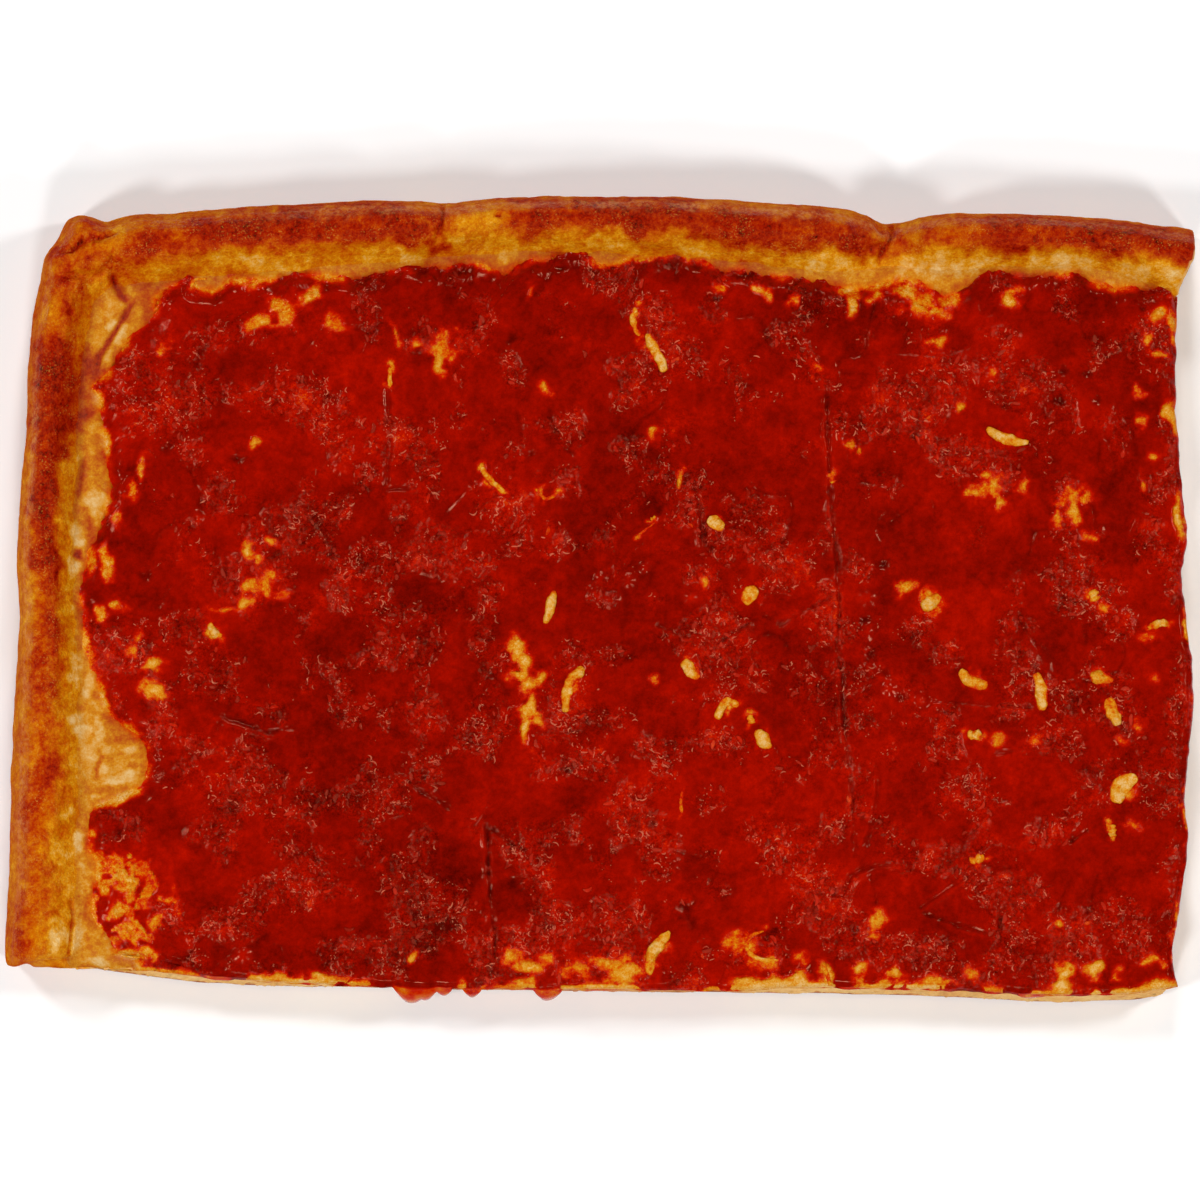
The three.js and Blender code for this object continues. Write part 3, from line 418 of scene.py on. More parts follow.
# Melted cheese that comes up through the sauce: place, half length, half width, turn, strength
PATCHES = [
    (514, 650, 4.4, 2.2, 70, 1.0), (520, 663, 3.6, 2.0, -60, 0.9), (514, 677, 3.4, 2.2, 20, 1.0),
    (531, 684, 4.0, 1.8, 5, 1.0), (541, 680, 2.8, 1.6, 30, 0.8), (526, 712, 4.6, 2.2, 80, 0.9),
    (524, 732, 3.4, 2.4, 60, 1.0), (537, 724, 2.4, 2.0, 0, 0.8), (520, 696, 5.0, 3.4, 90, 0.6),
    (244, 606, 3.0, 2.4, 0, 0.95), (249, 585, 2.4, 3.6, 0, 0.8), (249, 553, 2.2, 4.0, 0, 0.95),
    (256, 562, 1.8, 3.6, -20, 0.8), (264, 586, 4.4, 4.4, 0, 0.55), (275, 543, 3.0, 2.4, 0, 0.6),
    (283, 598, 4.0, 2.2, 0, 0.65), (228, 612, 5.0, 1.3, -5, 0.7), (214, 632, 2.4, 2.2, 0, 0.9),
    (107, 566, 2.2, 6.0, 0, 0.9), (99, 619, 2.4, 3.2, 0, 0.85), (120, 608, 2.0, 2.0, 0, 0.7),
    (134, 636, 2.2, 2.2, 0, 0.65), (151, 667, 3.4, 2.2, 10, 0.8), (153, 692, 3.6, 2.8, 0, 0.95),
    (128, 655, 2.6, 4.4, 0, 0.55), (142, 467, 1.4, 4.4, 0, 0.85), (133, 491, 1.8, 2.6, 0, 0.65),
    (118, 520, 2.0, 4.0, 0, 0.6), (255, 444, 2.6, 1.6, 10, 0.65), (283, 312, 4.4, 4.4, -30, 0.8),
    (260, 322, 3.6, 2.8, 0, 0.8), (310, 297, 3.6, 2.4, 0, 0.9), (262, 276, 4.4, 2.4, 10, 0.85),
    (198, 282, 2.8, 1.8, 0, 0.95), (195, 271, 2.0, 1.4, 0, 0.8), (335, 328, 4.0, 3.4, 0, 0.65),
    (389, 364, 2.0, 2.8, 0, 0.8), (398, 338, 1.2, 4.2, 25, 0.65), (439, 362, 2.0, 4.4, 0, 0.85),
    (418, 347, 2.0, 2.0, 0, 0.65), (445, 348, 5.0, 5.0, 0, 0.5), (544, 391, 2.2, 2.2, 0, 0.6),
    (538, 493, 1.8, 1.8, 0, 0.6), (528, 967, 4.4, 2.4, 0, 0.95), (512, 957, 4.0, 2.8, 0, 0.75),
    (545, 958, 3.8, 3.0, 0, 0.65), (580, 972, 4.6, 2.6, 0, 0.8), (606, 966, 6.0, 3.0, 0, 0.85),
    (413, 961, 1.4, 2.4, 0, 0.85), (620, 974, 6.0, 2.6, 0, 0.9), (759, 288, 1.6, 1.6, 0, 0.75),
    (768, 293, 1.6, 1.6, 0, 0.65), (789, 301, 1.8, 1.8, 0, 0.65), (852, 289, 4.2, 1.6, 0, 0.95),
    (853, 303, 1.8, 3.6, 0, 0.95), (876, 297, 1.8, 1.8, 0, 0.6), (816, 370, 2.4, 2.0, 0, 0.6),
    (1014, 297, 2.6, 3.6, 0, 0.9), (937, 341, 3.2, 2.0, 0, 0.6), (920, 304, 5.0, 3.4, 10, 0.75),
    (938, 316, 4.4, 2.4, 0, 0.65), (906, 292, 4.0, 3.0, 0, 0.8), (950, 300, 4.0, 2.4, 0, 0.7),
    (992, 375, 1.8, 1.8, 0, 0.55), (1033, 392, 1.8, 1.8, 0, 0.55), (960, 408, 1.4, 1.4, 0, 0.85),
    (529, 291, 1.2, 2.4, 0, 0.65), (654, 435, 1.8, 1.8, 0, 0.6), (680, 477, 1.4, 2.6, 0, 0.8),
    (705, 584, 1.4, 2.2, 0, 0.65), (845, 448, 2.0, 1.4, 0, 0.7), (858, 454, 1.4, 1.8, 0, 0.75),
    (657, 680, 1.6, 1.6, 0, 0.55), (874, 923, 3.4, 3.4, 0, 0.5), (875, 938, 2.4, 1.4, 0, 0.7),
    (1034, 740, 2.2, 1.8, 0, 0.65), (998, 741, 3.0, 1.6, 0, 0.7), (1152, 677, 2.2, 2.0, 0, 0.5),
    (1135, 726, 2.2, 2.0, 0, 0.55), (1143, 490, 1.2, 1.8, 0, 0.7), (1143, 422, 1.6, 2.4, 0, 0.75),
    (1155, 457, 1.8, 1.8, 0, 0.55), (1139, 391, 1.8, 1.8, 0, 0.55), (984, 473, 2.2, 1.6, 0, 0.8),
    (993, 487, 1.8, 1.8, 0, 0.85), (1001, 503, 1.8, 2.4, 0, 0.85), (973, 495, 2.0, 1.6, 0, 0.7),
    (990, 488, 6.0, 5.0, 0, 0.5), (1021, 485, 2.0, 2.4, 0, 0.6), (1076, 513, 2.8, 4.0, 0, 0.95),
    (1074, 503, 5.0, 5.0, 0, 0.55), (1160, 314, 3.4, 2.6, 30, 0.8), (1146, 338, 1.4, 4.0, 0, 0.7),
    (1162, 356, 4.0, 1.5, 0, 0.8), (1174, 338, 1.4, 3.6, 0, 0.75), (1170, 409, 2.0, 2.6, 0, 0.75),
    (1181, 519, 1.6, 9.0, 0, 1.0), (1176, 320, 2.4, 3.0, 0, 0.85), (1181, 798, 1.4, 2.8, 0, 0.8),
    (746, 948, 6.0, 4.0, -20, 0.65), (761, 966, 5.0, 2.6, 0, 0.75), (97, 871, 3.2, 3.4, 0, 0.85),
    (114, 860, 3.8, 1.8, 0, 0.8), (104, 890, 1.8, 3.4, 20, 0.75), (140, 871, 2.6, 3.0, 0, 0.7),
    (130, 898, 2.6, 2.0, 0, 0.7), (119, 912, 3.6, 2.2, 0, 0.8), (159, 923, 3.2, 1.6, 20, 0.7),
    (176, 900, 2.4, 2.6, 0, 0.6), (150, 905, 3.2, 2.2, 0, 0.55), (136, 941, 3.2, 2.6, 0, 0.5),
    (145, 957, 3.4, 2.2, 0, 0.95), (120, 958, 4.0, 2.0, 0, 0.9), (277, 977, 4.0, 1.6, 0, 0.9),
    (799, 961, 3.2, 2.4, 0, 0.7), (826, 975, 1.6, 4.2, 0, 1.0), (891, 976, 4.2, 2.4, 0, 0.8),
    (967, 975, 2.6, 2.6, 0, 0.8), (1063, 978, 2.6, 3.6, 0, 0.95), (1089, 971, 3.2, 2.4, 0, 0.95),
    (1058, 926, 1.8, 1.4, 0, 0.65), (860, 972, 4.0, 2.4, 0, 0.65), (1120, 972, 3.2, 1.8, 0, 0.65),
    (1150, 965, 3.0, 1.8, 0, 0.65), (716, 288, 2.4, 2.4, 0, 0.8), (645, 345, 3.2, 2.4, -40, 0.5),
    (1100, 605, 2.0, 2.0, 0, 0.6), (973, 862, 3.2, 2.4, 20, 0.5), (1120, 742, 2.4, 1.8, 0, 0.55),
    (905, 590, 2.2, 2.2, 0, 0.6), (930, 603, 3.4, 3.4, 0, 0.75), (1060, 520, 2.4, 2.4, 0, 0.6),
    (1090, 540, 2.0, 1.6, 0, 0.55), (1085, 497, 1.8, 2.0, 0, 0.7), (165, 350, 3.0, 2.0, 30, 0.45),
    (1132, 826, 2.4, 3.0, 0, 0.5), (1150, 640, 4.4, 2.0, 0, 0.4),
]  # fmt: skip

# Single places, the first two in grid steps and the others in millimetres
SOAKED_CORNER = (118, 900)  # middle of the thin sauce in the lower left corner
WIDE_BROWN = (330, 360, 400, 480)  # rows where the left rim is brown nearly all over
SOAKED_LEFT, SOAKED_BELOW = -115, 58  # the cheese soaks through most left of and below these
CRUMB_START = (-148, -134)  # the crust turns into the crumb of the long cut
PINK_SPAN = (-62, -45, 30, 48)  # sauce soaked into the crumb of the long cut
END_FACE = (156.5, 160)  # the cut end of the long rim

# Small shreds of cheese on the sauce: points, width
THREADS = [
    ([(635, 308), (632, 318), (634, 328), (640, 337)], 1.8), ([(210, 624), (212, 634), (222, 639)], 2.4),
    ([(480, 467), (490, 482), (505, 496)], 1.8), ([(682, 792), (680, 806), (681, 816)], 1.0),
    ([(764, 932), (746, 938), (745, 952), (758, 962), (778, 962)], 1.4),
    ([(1146, 630), (1158, 626), (1168, 624)], 2.2), ([(822, 964), (826, 976), (830, 990)], 1.6),
    ([(749, 716), (751, 726)], 2.2), ([(1090, 592), (1096, 603)], 3.0), ([(1110, 826), (1111, 839)], 2.4),
    ([(968, 863), (983, 858)], 2.6), ([(966, 736), (981, 737)], 2.8), ([(831, 478), (833, 485)], 2.0),
    ([(650, 522), (656, 519)], 1.4), ([(638, 537), (655, 524)], 0.8), ([(390, 368), (389, 390)], 1.4),
    ([(535, 490), (545, 502), (558, 495)], 1.2), ([(189, 288), (194, 279), (206, 279)], 1.2),
]  # fmt: skip


def lattice(i, j, k, seed):
    """A fixed random value from -1 to 1 for each point of a lattice."""
    wave = np.sin(i * 127.1 + j * 311.7 + k * 53.9 + seed * 74.7) * 43758.5453
    return 2 * (wave - np.floor(wave)) - 1


def noise(x, y, cell, seed, z=None):
    """Smooth noise from -1 to 1, with one bump or dip for each cell. z is left out on a plane."""
    flat = z is None
    gx, gy, gz = x / cell, y / cell, np.zeros_like(x) if flat else z / cell
    i, j, k = np.floor(gx), np.floor(gy), np.floor(gz)
    fx, fy, fz = (f * f * (3 - 2 * f) for f in (gx - i, gy - j, gz - k))

    def layer(up):
        near = lattice(i, j, k + up, seed) * (1 - fx) + lattice(i + 1, j, k + up, seed) * fx
        far = lattice(i, j + 1, k + up, seed) * (1 - fx) + lattice(i + 1, j + 1, k + up, seed) * fx
        return near * (1 - fy) + far * fy

    return layer(0) if flat else layer(0) * (1 - fz) + layer(1) * fz


def uneven(x, y, *layers, z=None):
    """Noise of several sizes in one, from the strength, cell and seed of each."""
    return sum(strength * noise(x, y, cell, seed, z) for strength, cell, seed in layers)


def ridges(x, y, cell, seed):
    """Thin crests that curl about, 1 along their tops and 0 between them."""
    a = x + 0.7 * cell * noise(x, y, 1.3 * cell, seed + 1)
    b = y + 0.7 * cell * noise(x, y, 1.3 * cell, seed + 2)
    return np.clip(1 - 2.4 * abs(noise(a, b, cell, seed)), 0, 1)


def grains(x, y, cell, seed):
    """Rounded grains, one in each cell: 1 in the middle of a grain and 0 at its foot."""
    i, j = np.floor(x / cell), np.floor(y / cell)
    nearest = np.full_like(x, 9.0)
    for di in (-1, 0, 1):
        for dj in (-1, 0, 1):
            a, b = i + di, j + dj
            px = (a + 0.5 + 0.45 * lattice(a, b, 0, seed)) * cell
            py = (b + 0.5 + 0.45 * lattice(a, b, 0, seed + 1)) * cell
            size = cell * (0.62 + 0.2 * lattice(a, b, 0, seed + 2))
            nearest = np.minimum(nearest, np.hypot(x - px, y - py) / size)
    return np.sqrt(np.clip(1 - nearest**2, 0, 1))


def beside(points, x, y):
    """Distance from a line of points, its sign (right is positive), and the share along it."""
    best = np.full_like(x, 1e9)
    side, share = np.zeros_like(x), np.zeros_like(x)
    lengths = np.r_[0, np.cumsum(np.hypot(*np.diff(points, axis=0).T))]
    for n, (a, b) in enumerate(zip(points, points[1:])):
        run = b - a
        size = max(float(run @ run), 1e-9)
        t = np.clip(((x - a[0]) * run[0] + (y - a[1]) * run[1]) / size, 0, 1)
        away = np.hypot(x - a[0] - t * run[0], y - a[1] - t * run[1])
        closer = away < best
        cross = (x - a[0]) * run[1] - (y - a[1]) * run[0]
        best = np.where(closer, away, best)
        side = np.where(closer, np.sign(cross), side)
        share = np.where(closer, (lengths[n] + t * math.sqrt(size)) / lengths[-1], share)
    return best, side, share


def margin(points, upright):
    """A margin read on the grid, as y for each x, or as x for each y if it is upright."""
    spots = places(points)
    return line(spots[:, ::-1] if upright else spots)


SAUCE_TOP = margin(TOP_MARGIN, False)
SAUCE_LEFT = margin(LEFT_MARGIN, True)


def inside_margin(x, y):
    """How far inside the sauce's margin along the rims a place lies."""
    across = np.minimum(x - SAUCE_LEFT(y), SAUCE_TOP(x) - y)
    near = abs(across) < MARGIN_REACH
    for table in (LEFT_MARGIN, TOP_MARGIN):
        away = beside(places(table), x[near], y[near])[0]
        across[near] = np.sign(across[near]) * np.minimum(abs(across[near]), away)
    return across


def around(points, x, y, reach):
    """Which places lie within reach of the box round some points."""
    low, high = np.min(points, axis=0) - reach, np.max(points, axis=0) + reach
    return (x > low[0]) & (x < high[0]) & (y > low[1]) & (y < high[1])


def spot(x, y, centre, long, wide, turn=0.0):
    """1 at the centre of an oval, falling to 0 at its edge."""
    c, s = math.cos(math.radians(turn)), math.sin(math.radians(turn))
    dx, dy = x - centre[0], y - centre[1]
    away = np.hypot((dx * c + dy * s) / long, (dy * c - dx * s) / wide)
    return 1 - smooth_step(0, 1, away)


def spots_at(table, x, y, spread):
    """The strongest of the ovals in a table of place, half length and half width, spread out."""
    strongest = np.zeros_like(x)
    for column, row, long, wide in table:
        centre = np.array([at(column, row)])
        near = around(centre, x, y, spread * max(long, wide))
        oval = spot(x[near], y[near], centre[0], spread * long, spread * wide)
        strongest[near] = np.maximum(strongest[near], oval)
    return strongest


def read(mesh, what):
    """The places or the normals of a mesh's vertices, as Blender keeps them."""
    flat = np.empty(len(mesh.vertices) * 3)
    mesh.vertices.foreach_get(what, flat)
    return flat.reshape(-1, 3)


def coordinates(mesh):
    """The places of a mesh's vertices in millimetres."""
    return read(mesh, "co") / MM


def move_to(mesh, points):
    """Moves a mesh's vertices to places in millimetres."""
    mesh.vertices.foreach_set("co", (points * MM).astype(np.float32).ravel())
    mesh.update()


def mark(mesh, values, name):
    """Paints a value on each vertex, for the materials."""
    layer = mesh.attributes.new(name, "FLOAT", "POINT")
    layer.data.foreach_set("value", np.asarray(values, np.float32))


def only(obj):
    """Makes one object the only chosen one, as bpy.ops needs it."""
    bpy.ops.object.select_all(action="DESELECT")
    obj.select_set(True)
    bpy.context.view_layer.objects.active = obj


def copy_of(node, name):
    """A copy of a CAD node with its corners merged."""
    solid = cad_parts[node]
    obj = bpy.data.objects.new(name, solid.data.copy())
    obj.data.name = name
    obj.data.materials.clear()
    obj.data.transform(solid.matrix_world)
    bpy.context.scene.collection.objects.link(obj)
    only(obj)
    bpy.ops.object.mode_set(mode="EDIT")
    bpy.ops.mesh.select_all(action="SELECT")
    bpy.ops.mesh.remove_doubles(threshold=MERGE * MM)
    bpy.ops.object.mode_set(mode="OBJECT")
    return obj


def apply_modifier(obj, kind, **settings):
    """Adds a modifier and applies it."""
    only(obj)
    modifier = obj.modifiers.new(kind.title(), kind)
    for key, value in settings.items():
        setattr(modifier, key, value)
    bpy.ops.object.modifier_apply(modifier=modifier.name)


def hand_over(obj, material, slot, *nodes):
    """Gives a piece its material and hides the CAD nodes that it replaces; the slot is not used."""
    obj.data.materials.clear()
    obj.data.materials.append(material)
    only(obj)
    bpy.ops.object.shade_smooth()
    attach(obj, "root")
    if nodes:
        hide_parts(*nodes)


class Ground:
    """The upper surfaces of some pieces, to lay others on."""

    def __init__(self, *pieces):
        graph = bpy.context.evaluated_depsgraph_get()
        self.trees = [BVHTree.FromObject(piece, graph) for piece in pieces]

    def heights(self, x, y, least):
        """Height of the highest piece at each place."""
        found = np.full(len(x), float(least))
        down = Vector((0, 0, -1))
        for n, (a, b) in enumerate(zip(x * MM, y * MM)):
            start = Vector((a, b, RAY_START * MM))
            for tree in self.trees:
                hit = tree.ray_cast(start, down)[0]
                if hit is not None:
                    found[n] = max(found[n], hit.z / MM)
        return found


# Surfaces


def sauce_level(x, y):
    """Height of the sauce before its grain, the same as that of the solid."""
    swell = uneven(x, y - ORIGIN_SHIFT, (0.65, 31, 41), (0.6, 16, 43), (0.5, 9, 47))
    return CHEESE_TOP + SAUCE_THICKNESS + swell


def smoothness(x, y):
    """1 where the sauce was smeared smooth, 0 where its grain stands."""
    smooth = np.zeros_like(x)
    for column, row, long, wide, turn in SMOOTH_ZONES:
        smooth = np.maximum(smooth, spot(x, y, at(column, row), long, wide, turn))
    patchy = uneven(x, y, (0.55, 24, 90), (0.45, 9, 91))
    return np.clip(1.5 * smooth * (1 + 0.6 * patchy) + 0.45 * (patchy > 0.35), 0, 1)


def pulpiness(x, y, smooth):
    """1 where crushed tomato stands in the sauce, 0 where it lies flat."""
    clusters = uneven(x, y, (1, 8, 104), (0.5, 3.5, 105), (0.4, 19, 107))
    return (1 - 0.9 * smooth) * smooth_step(-0.4, 0.5, clusters)


def sauce_grain(x, y, smooth, pulpy):
    """Height and shade of the crests, grains and cracks of the sauce."""
    broken = smooth_step(-0.25, 0.2, noise(x, y, 2.2, 108))
    crests = CREST_RISE * ridges(x, y, *CRESTS) * broken + FINE_CREST_RISE * ridges(x, y, 1.9, 106)
    rise = pulpy * (crests + GRAIN_RISE * grains(x, y, 2.5, 110))
    rise += 0.3 * noise(x, y, 5.0, 120) * (0.5 + 0.5 * pulpy)
    rise += 0.13 * noise(x, y, 1.5, 121) * (0.15 + pulpy)
    rise += 0.06 * noise(x, y, 0.9, 122) * (0.1 + pulpy)
    shade = 0.3 * (rise - 0.28 * pulpy)
    cracks = ridges(x, y, 11, 140) ** 5 * smooth_step(0.05, 0.45, noise(x, y, 8, 143))
    return rise - 0.4 * smooth - CRACK_DEPTH * cracks, shade - CRACK_SHADE * cracks


def score_lines(x, y, rise, shade):
    """Cuts the scored lines into the rise and the shade, with the lip along one side of each."""
    for points, half, depth, lip in GROOVES:
        points = places(points)
        near = around(points, x, y, 5.0)
        a, b = x[near], y[near]
        away, side, share = beside(points, a, b)
        away += uneven(a, b, (0.4, 3, 130), (0.25, 1.4, 131))
        ends = between(share, 0, 0.06, 0.94, 1) * (0.75 + 0.35 * noise(a, b, 6, 132))
        cut = np.exp(-((away / (0.8 * half)) ** 2)) * ends
        bank = np.exp(-(((away - 1.8 * half) / half) ** 2)) * ends * (side * np.sign(lip) > 0)
        rise[near] += abs(lip) * bank - depth * cut
        shade[near] += BANK_SHADE * bank - CUT_SHADE * cut


def sauce_relief(x, y):
    """What stands on the sauce's level, how dark or bright its own shape makes it, how smooth
    and how pulpy it is."""
    smooth = smoothness(x, y)
    pulpy = pulpiness(x, y, smooth)
    rise, shade = sauce_grain(x, y, smooth, pulpy)
    score_lines(x, y, rise, shade)
    a, b = x + 0.8 * noise(x, y, 1.8, 133), y + 0.8 * noise(x, y, 1.8, 134)
    for *oval, depth in PITS:
        hole = spots_at([oval], a, b, 1.5)
        rise -= PIT_DEPTH * depth * hole
        shade -= PIT_SHADE * hole
    for column, row, radius, height in LUMPS:
        lump = spots_at([(column, row, radius, radius)], x, y, 1.3)
        rise += height * lump
        shade += LUMP_SHADE * lump
    return rise, shade, smooth, pulpy


def shred_glow():
    """Ovals round the shreds, where the sauce turns orange."""
    ovals = []
    for name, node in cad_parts.items():
        if name.startswith("cheese_shred"):
            points = coordinates(node.data)[:, :2]
            middle = (points.min(axis=0) + points.max(axis=0)) / 2
            axes = np.linalg.eigh(np.cov((points - middle).T))[1][:, ::-1]
            half = abs((points - middle) @ axes).max(axis=0) + 1.1
            turn = math.degrees(math.atan2(axes[1, 0], axes[0, 0]))
            ovals.append((*middle, *half, turn, 0.5))
    for path, width in THREADS:
        for place in places(path):
            ovals.append((*place, 0.6 * width + 1.2, 0.6 * width + 1.2, 0.0, 0.46))
    return ovals


CHEESE_OVALS = shred_glow() + [
    (*at(column, row), 1.7 * long, 1.7 * wide, turn, strength)
    for column, row, long, wide, turn, strength in PATCHES
]


def cheese_rise(x, y):
    """How far melted cheese comes up against the sauce: above 0 it shows."""
    a = x + uneven(x, y, (1.4, 4.6, 203), (0.6, 2.2, 204))
    b = y + uneven(x, y, (1.4, 4.6, 205), (0.6, 2.2, 206))
    rise = np.full_like(x, -1.0)
    for cx, cy, long, wide, turn, strength in CHEESE_OVALS:
        near = around([(cx, cy)], a, b, max(long, wide))
        lump = spot(a[near], b[near], (cx, cy), long, wide, turn)
        rise[near] = np.maximum(rise[near], 2.2 * strength * lump - 0.9)
    rise = np.maximum(rise, 2.7 * cheese_at_cuts(x, y, a, b) - 1.0)
    rise = np.maximum(rise, cheese_at_rims(x, y, a, b) - 1.0)
    mottle = uneven(x, y, (0.5, 3.4, 200), (0.35, 1.7, 201), (0.3, 0.9, 202))
    return rise + mottle * smooth_step(-1.0, -0.4, rise) * (1 - 0.4 * smooth_step(0.1, 0.7, rise))


def cheese_at_cuts(x, y, a, b):
    """How strongly the cheese comes up along the two cuts. a and b are the places made uneven."""
    low = BOTTOM_CHEESE(grid_place(x, y)[0]) * (1 - run_down(x)[1] / 2)
    low *= 0.8 + 0.7 * noise(x, y, 4.5, 218)
    low *= smooth_step(4.2, 0.2, b - full_cut(x) + 1.6 * noise(x, y, 5, 207))
    right = (0.3 + 0.4 * noise(y, y, 12, 208)) * smooth_step(1.5, 0.0, RIGHT_CUT(y) - a)
    return np.maximum(low, right)


def cheese_at_rims(x, y, a, b):
    """How strongly it soaks through beside the rims, most along the left one."""
    soaked = (0.5 + 0.75 * noise(x, y, 5.5, 209)) * smooth_step(4.5, 0.5, inside_margin(x, y))
    veins = noise(a, b, 5.2, 221) + 0.6 * noise(b, a, 2.3, 222) + 0.35 * noise(x, y, 1.2, 223)
    corner = spot(x, y, at(*SOAKED_CORNER), 24, 24) * smooth_step(-0.05, 0.85, veins)
    soaked = np.maximum(soaked, 0.55 * smooth_step(0.0, 0.5, corner))
    return np.where((x < SOAKED_LEFT) & (y < SOAKED_BELOW), 2.6, 1.4) * soaked


def topping_tone(x, y, shade, smooth, cheese):
    """Tone of the toppings: red sauce, turning orange and cream where cheese comes up."""
    tone = 0.26 + uneven(x, y, (0.07, 26, 410), (0.06, 7, 411), (0.05, 2, 412), (0.05, 1, 413))
    tone += 0.8 * shade - 0.06 * smooth
    tone = np.minimum(tone, 0.5 + 0.3 * (tone - 0.5))
    melted = 0.51 + 0.42 * np.clip((cheese + 0.35) / 1.7, 0, 1)
    melted += uneven(x, y, (0.06, 1.7, 416), (0.06, 1.0, 417))
    return mix(tone, melted, smooth_step(-1.0, 0.45, cheese))


def patch_between(left, right, bottom, top, u, v):
    """The patch between four edge lines, from shares of its length and width."""

    def meeting(across, along, y):
        """Where an upright edge and a level one cross, found by going to and fro between them."""
        x = across(np.array([y]))
        for _ in range(20):
            x = across(along(x))
        return float(x[0]), float(along(x)[0])

    low_left, low_right = (meeting(edge, bottom, BOTTOM_GUESS) for edge in (left, right))
    high_left, high_right = (meeting(edge, top, TOP_GUESS) for edge in (left, right))
    left_y, right_y = mix(low_left[1], high_left[1], v), mix(low_right[1], high_right[1], v)
    bottom_x, top_x = mix(low_left[0], low_right[0], u), mix(high_left[0], high_right[0], u)
    return mix(left(left_y), right(right_y), u), mix(bottom(bottom_x), top(top_x), v)


def lay_out(size, cell, hem):
    """For a grid of points, the shares along and across it, how far each lies from its left,
    right, bottom and top edge, and how far out in the hem beyond them, from 0 to 1."""
    columns, rows = int(size[0] / cell), int(size[1] / cell)
    i, j = np.meshgrid(np.arange(-hem, columns + hem + 1.0), np.arange(-hem, rows + hem + 1.0))
    u, v = np.clip(i / columns, 0, 1), np.clip(j / rows, 0, 1)
    away = u * size[0], (1 - u) * size[0], v * size[1], (1 - v) * size[1]
    beyond = [np.maximum(0, steps) / hem for steps in (-i, i - columns, -j, j - rows)]
    return u, v, away, beyond


def sheet(name, points):
    """A grid piece through rows and columns of points, and where its vertices lie in them."""
    rows, columns = len(points) - 1, len(points[0]) - 1
    bpy.ops.mesh.primitive_grid_add(x_subdivisions=columns, y_subdivisions=rows, size=2)
    obj = bpy.context.object
    obj.name = obj.data.name = name
    flat = read(obj.data, "co")
    index = (
        np.rint((flat[:, 1] + 1) / 2 * rows).astype(int),
        np.rint((flat[:, 0] + 1) / 2 * columns).astype(int),
    )
    move_to(obj.data, points[index])
    return obj, index


def keep_only(obj, keep):
    """Deletes the vertices that aren't kept."""
    mesh = bmesh.new()
    mesh.from_mesh(obj.data)
    mesh.verts.ensure_lookup_table()
    unseen = [v for v, kept in zip(mesh.verts, keep) if not kept]
    bmesh.ops.delete(mesh, geom=unseen, context="VERTS")
    mesh.to_mesh(obj.data)
    mesh.free()


def dough_flare(z):
    """How far the long cut bulges out at a height."""
    return LONG_CUT_FLARE * np.interp(z, [0, 3, 8, SLAB_TOP], [0.85, 1.0, 0.62, 0.0])


def full_cut(x):
    """The upper edge of the long cut, filled out."""
    return BOTTOM_CUT(x) - FULL_EDGE(x)


# Dough


def rim_share(x, y):
    """Share of the way in from each rim's outer edge to its foot."""
    left = (x - LEFT_EDGE(y)) / (LEFT_FOOT(y) - LEFT_EDGE(y))
    top = (TOP_EDGE(x) - y) / (TOP_EDGE(x) - TOP_FOOT(x))
    return left, top


def dough_folds(x, y):
    """How deep the folds and the dark specks are, and how much they darken the crust; in the folds that
    darkening is painted shade.
    """
    cut, dark = np.zeros_like(x), np.zeros_like(x)
    for points, half, depth in FOLDS:
        points = places(points)
        near = around(points, x, y, 4.0)
        away, _, share = beside(points, x[near], y[near])
        away += 0.2 * noise(x[near], y[near], 2.2, 312)
        groove = np.exp(-((away / half) ** 2)) * (0.4 + 0.6 * between(share, 0, 0.15, 0.85, 1))
        cut[near] += depth * groove
        dark[near] = np.maximum(dark[near], groove * min(1, depth))
    hole = spots_at(DARK_SPECKS, x, y, 1.5)
    return cut + SPECK_DEPTH * hole, np.maximum(dark, 1.3 * hole)


def browning(x, y, across, on_left):
    """Strength of the brown band that runs along the crest of each rim."""
    column, row = grid_place(x, y)
    strength = np.where(on_left, LEFT_BROWN(row), TOP_BROWN(column))
    strength = strength + uneven(x, y, (0.3, 11, 313), (0.26, 4, 314)) * (1 - 0.5 * on_left)
    wide = between(row, *WIDE_BROWN)
    middle = np.where(on_left, 0.42 + 0.2 * wide, 0.34)
    spread = np.where(on_left, 0.22 + 0.3 * wide, 0.27 + 0.1 * smooth_step(940, 990, column))
    return np.clip(strength, 0, 1.2) * np.exp(-(((across - middle) / spread) ** 4))


def stain(x, y):
    """1 where the sauce's edge has soaked into the crust beside it."""
    ragged = uneven(x, y, (1.6, 5, 320), (1.0, 2.2, 321), (0.5, 1.1, 322))
    patchy = smooth_step(-0.35, 0.35, uneven(x, y, (1, 10, 323), (0.5, 4, 324)))
    return smooth_step(-2.6, 0.4, inside_margin(x, y) + ragged) * (0.25 + 0.75 * patchy)


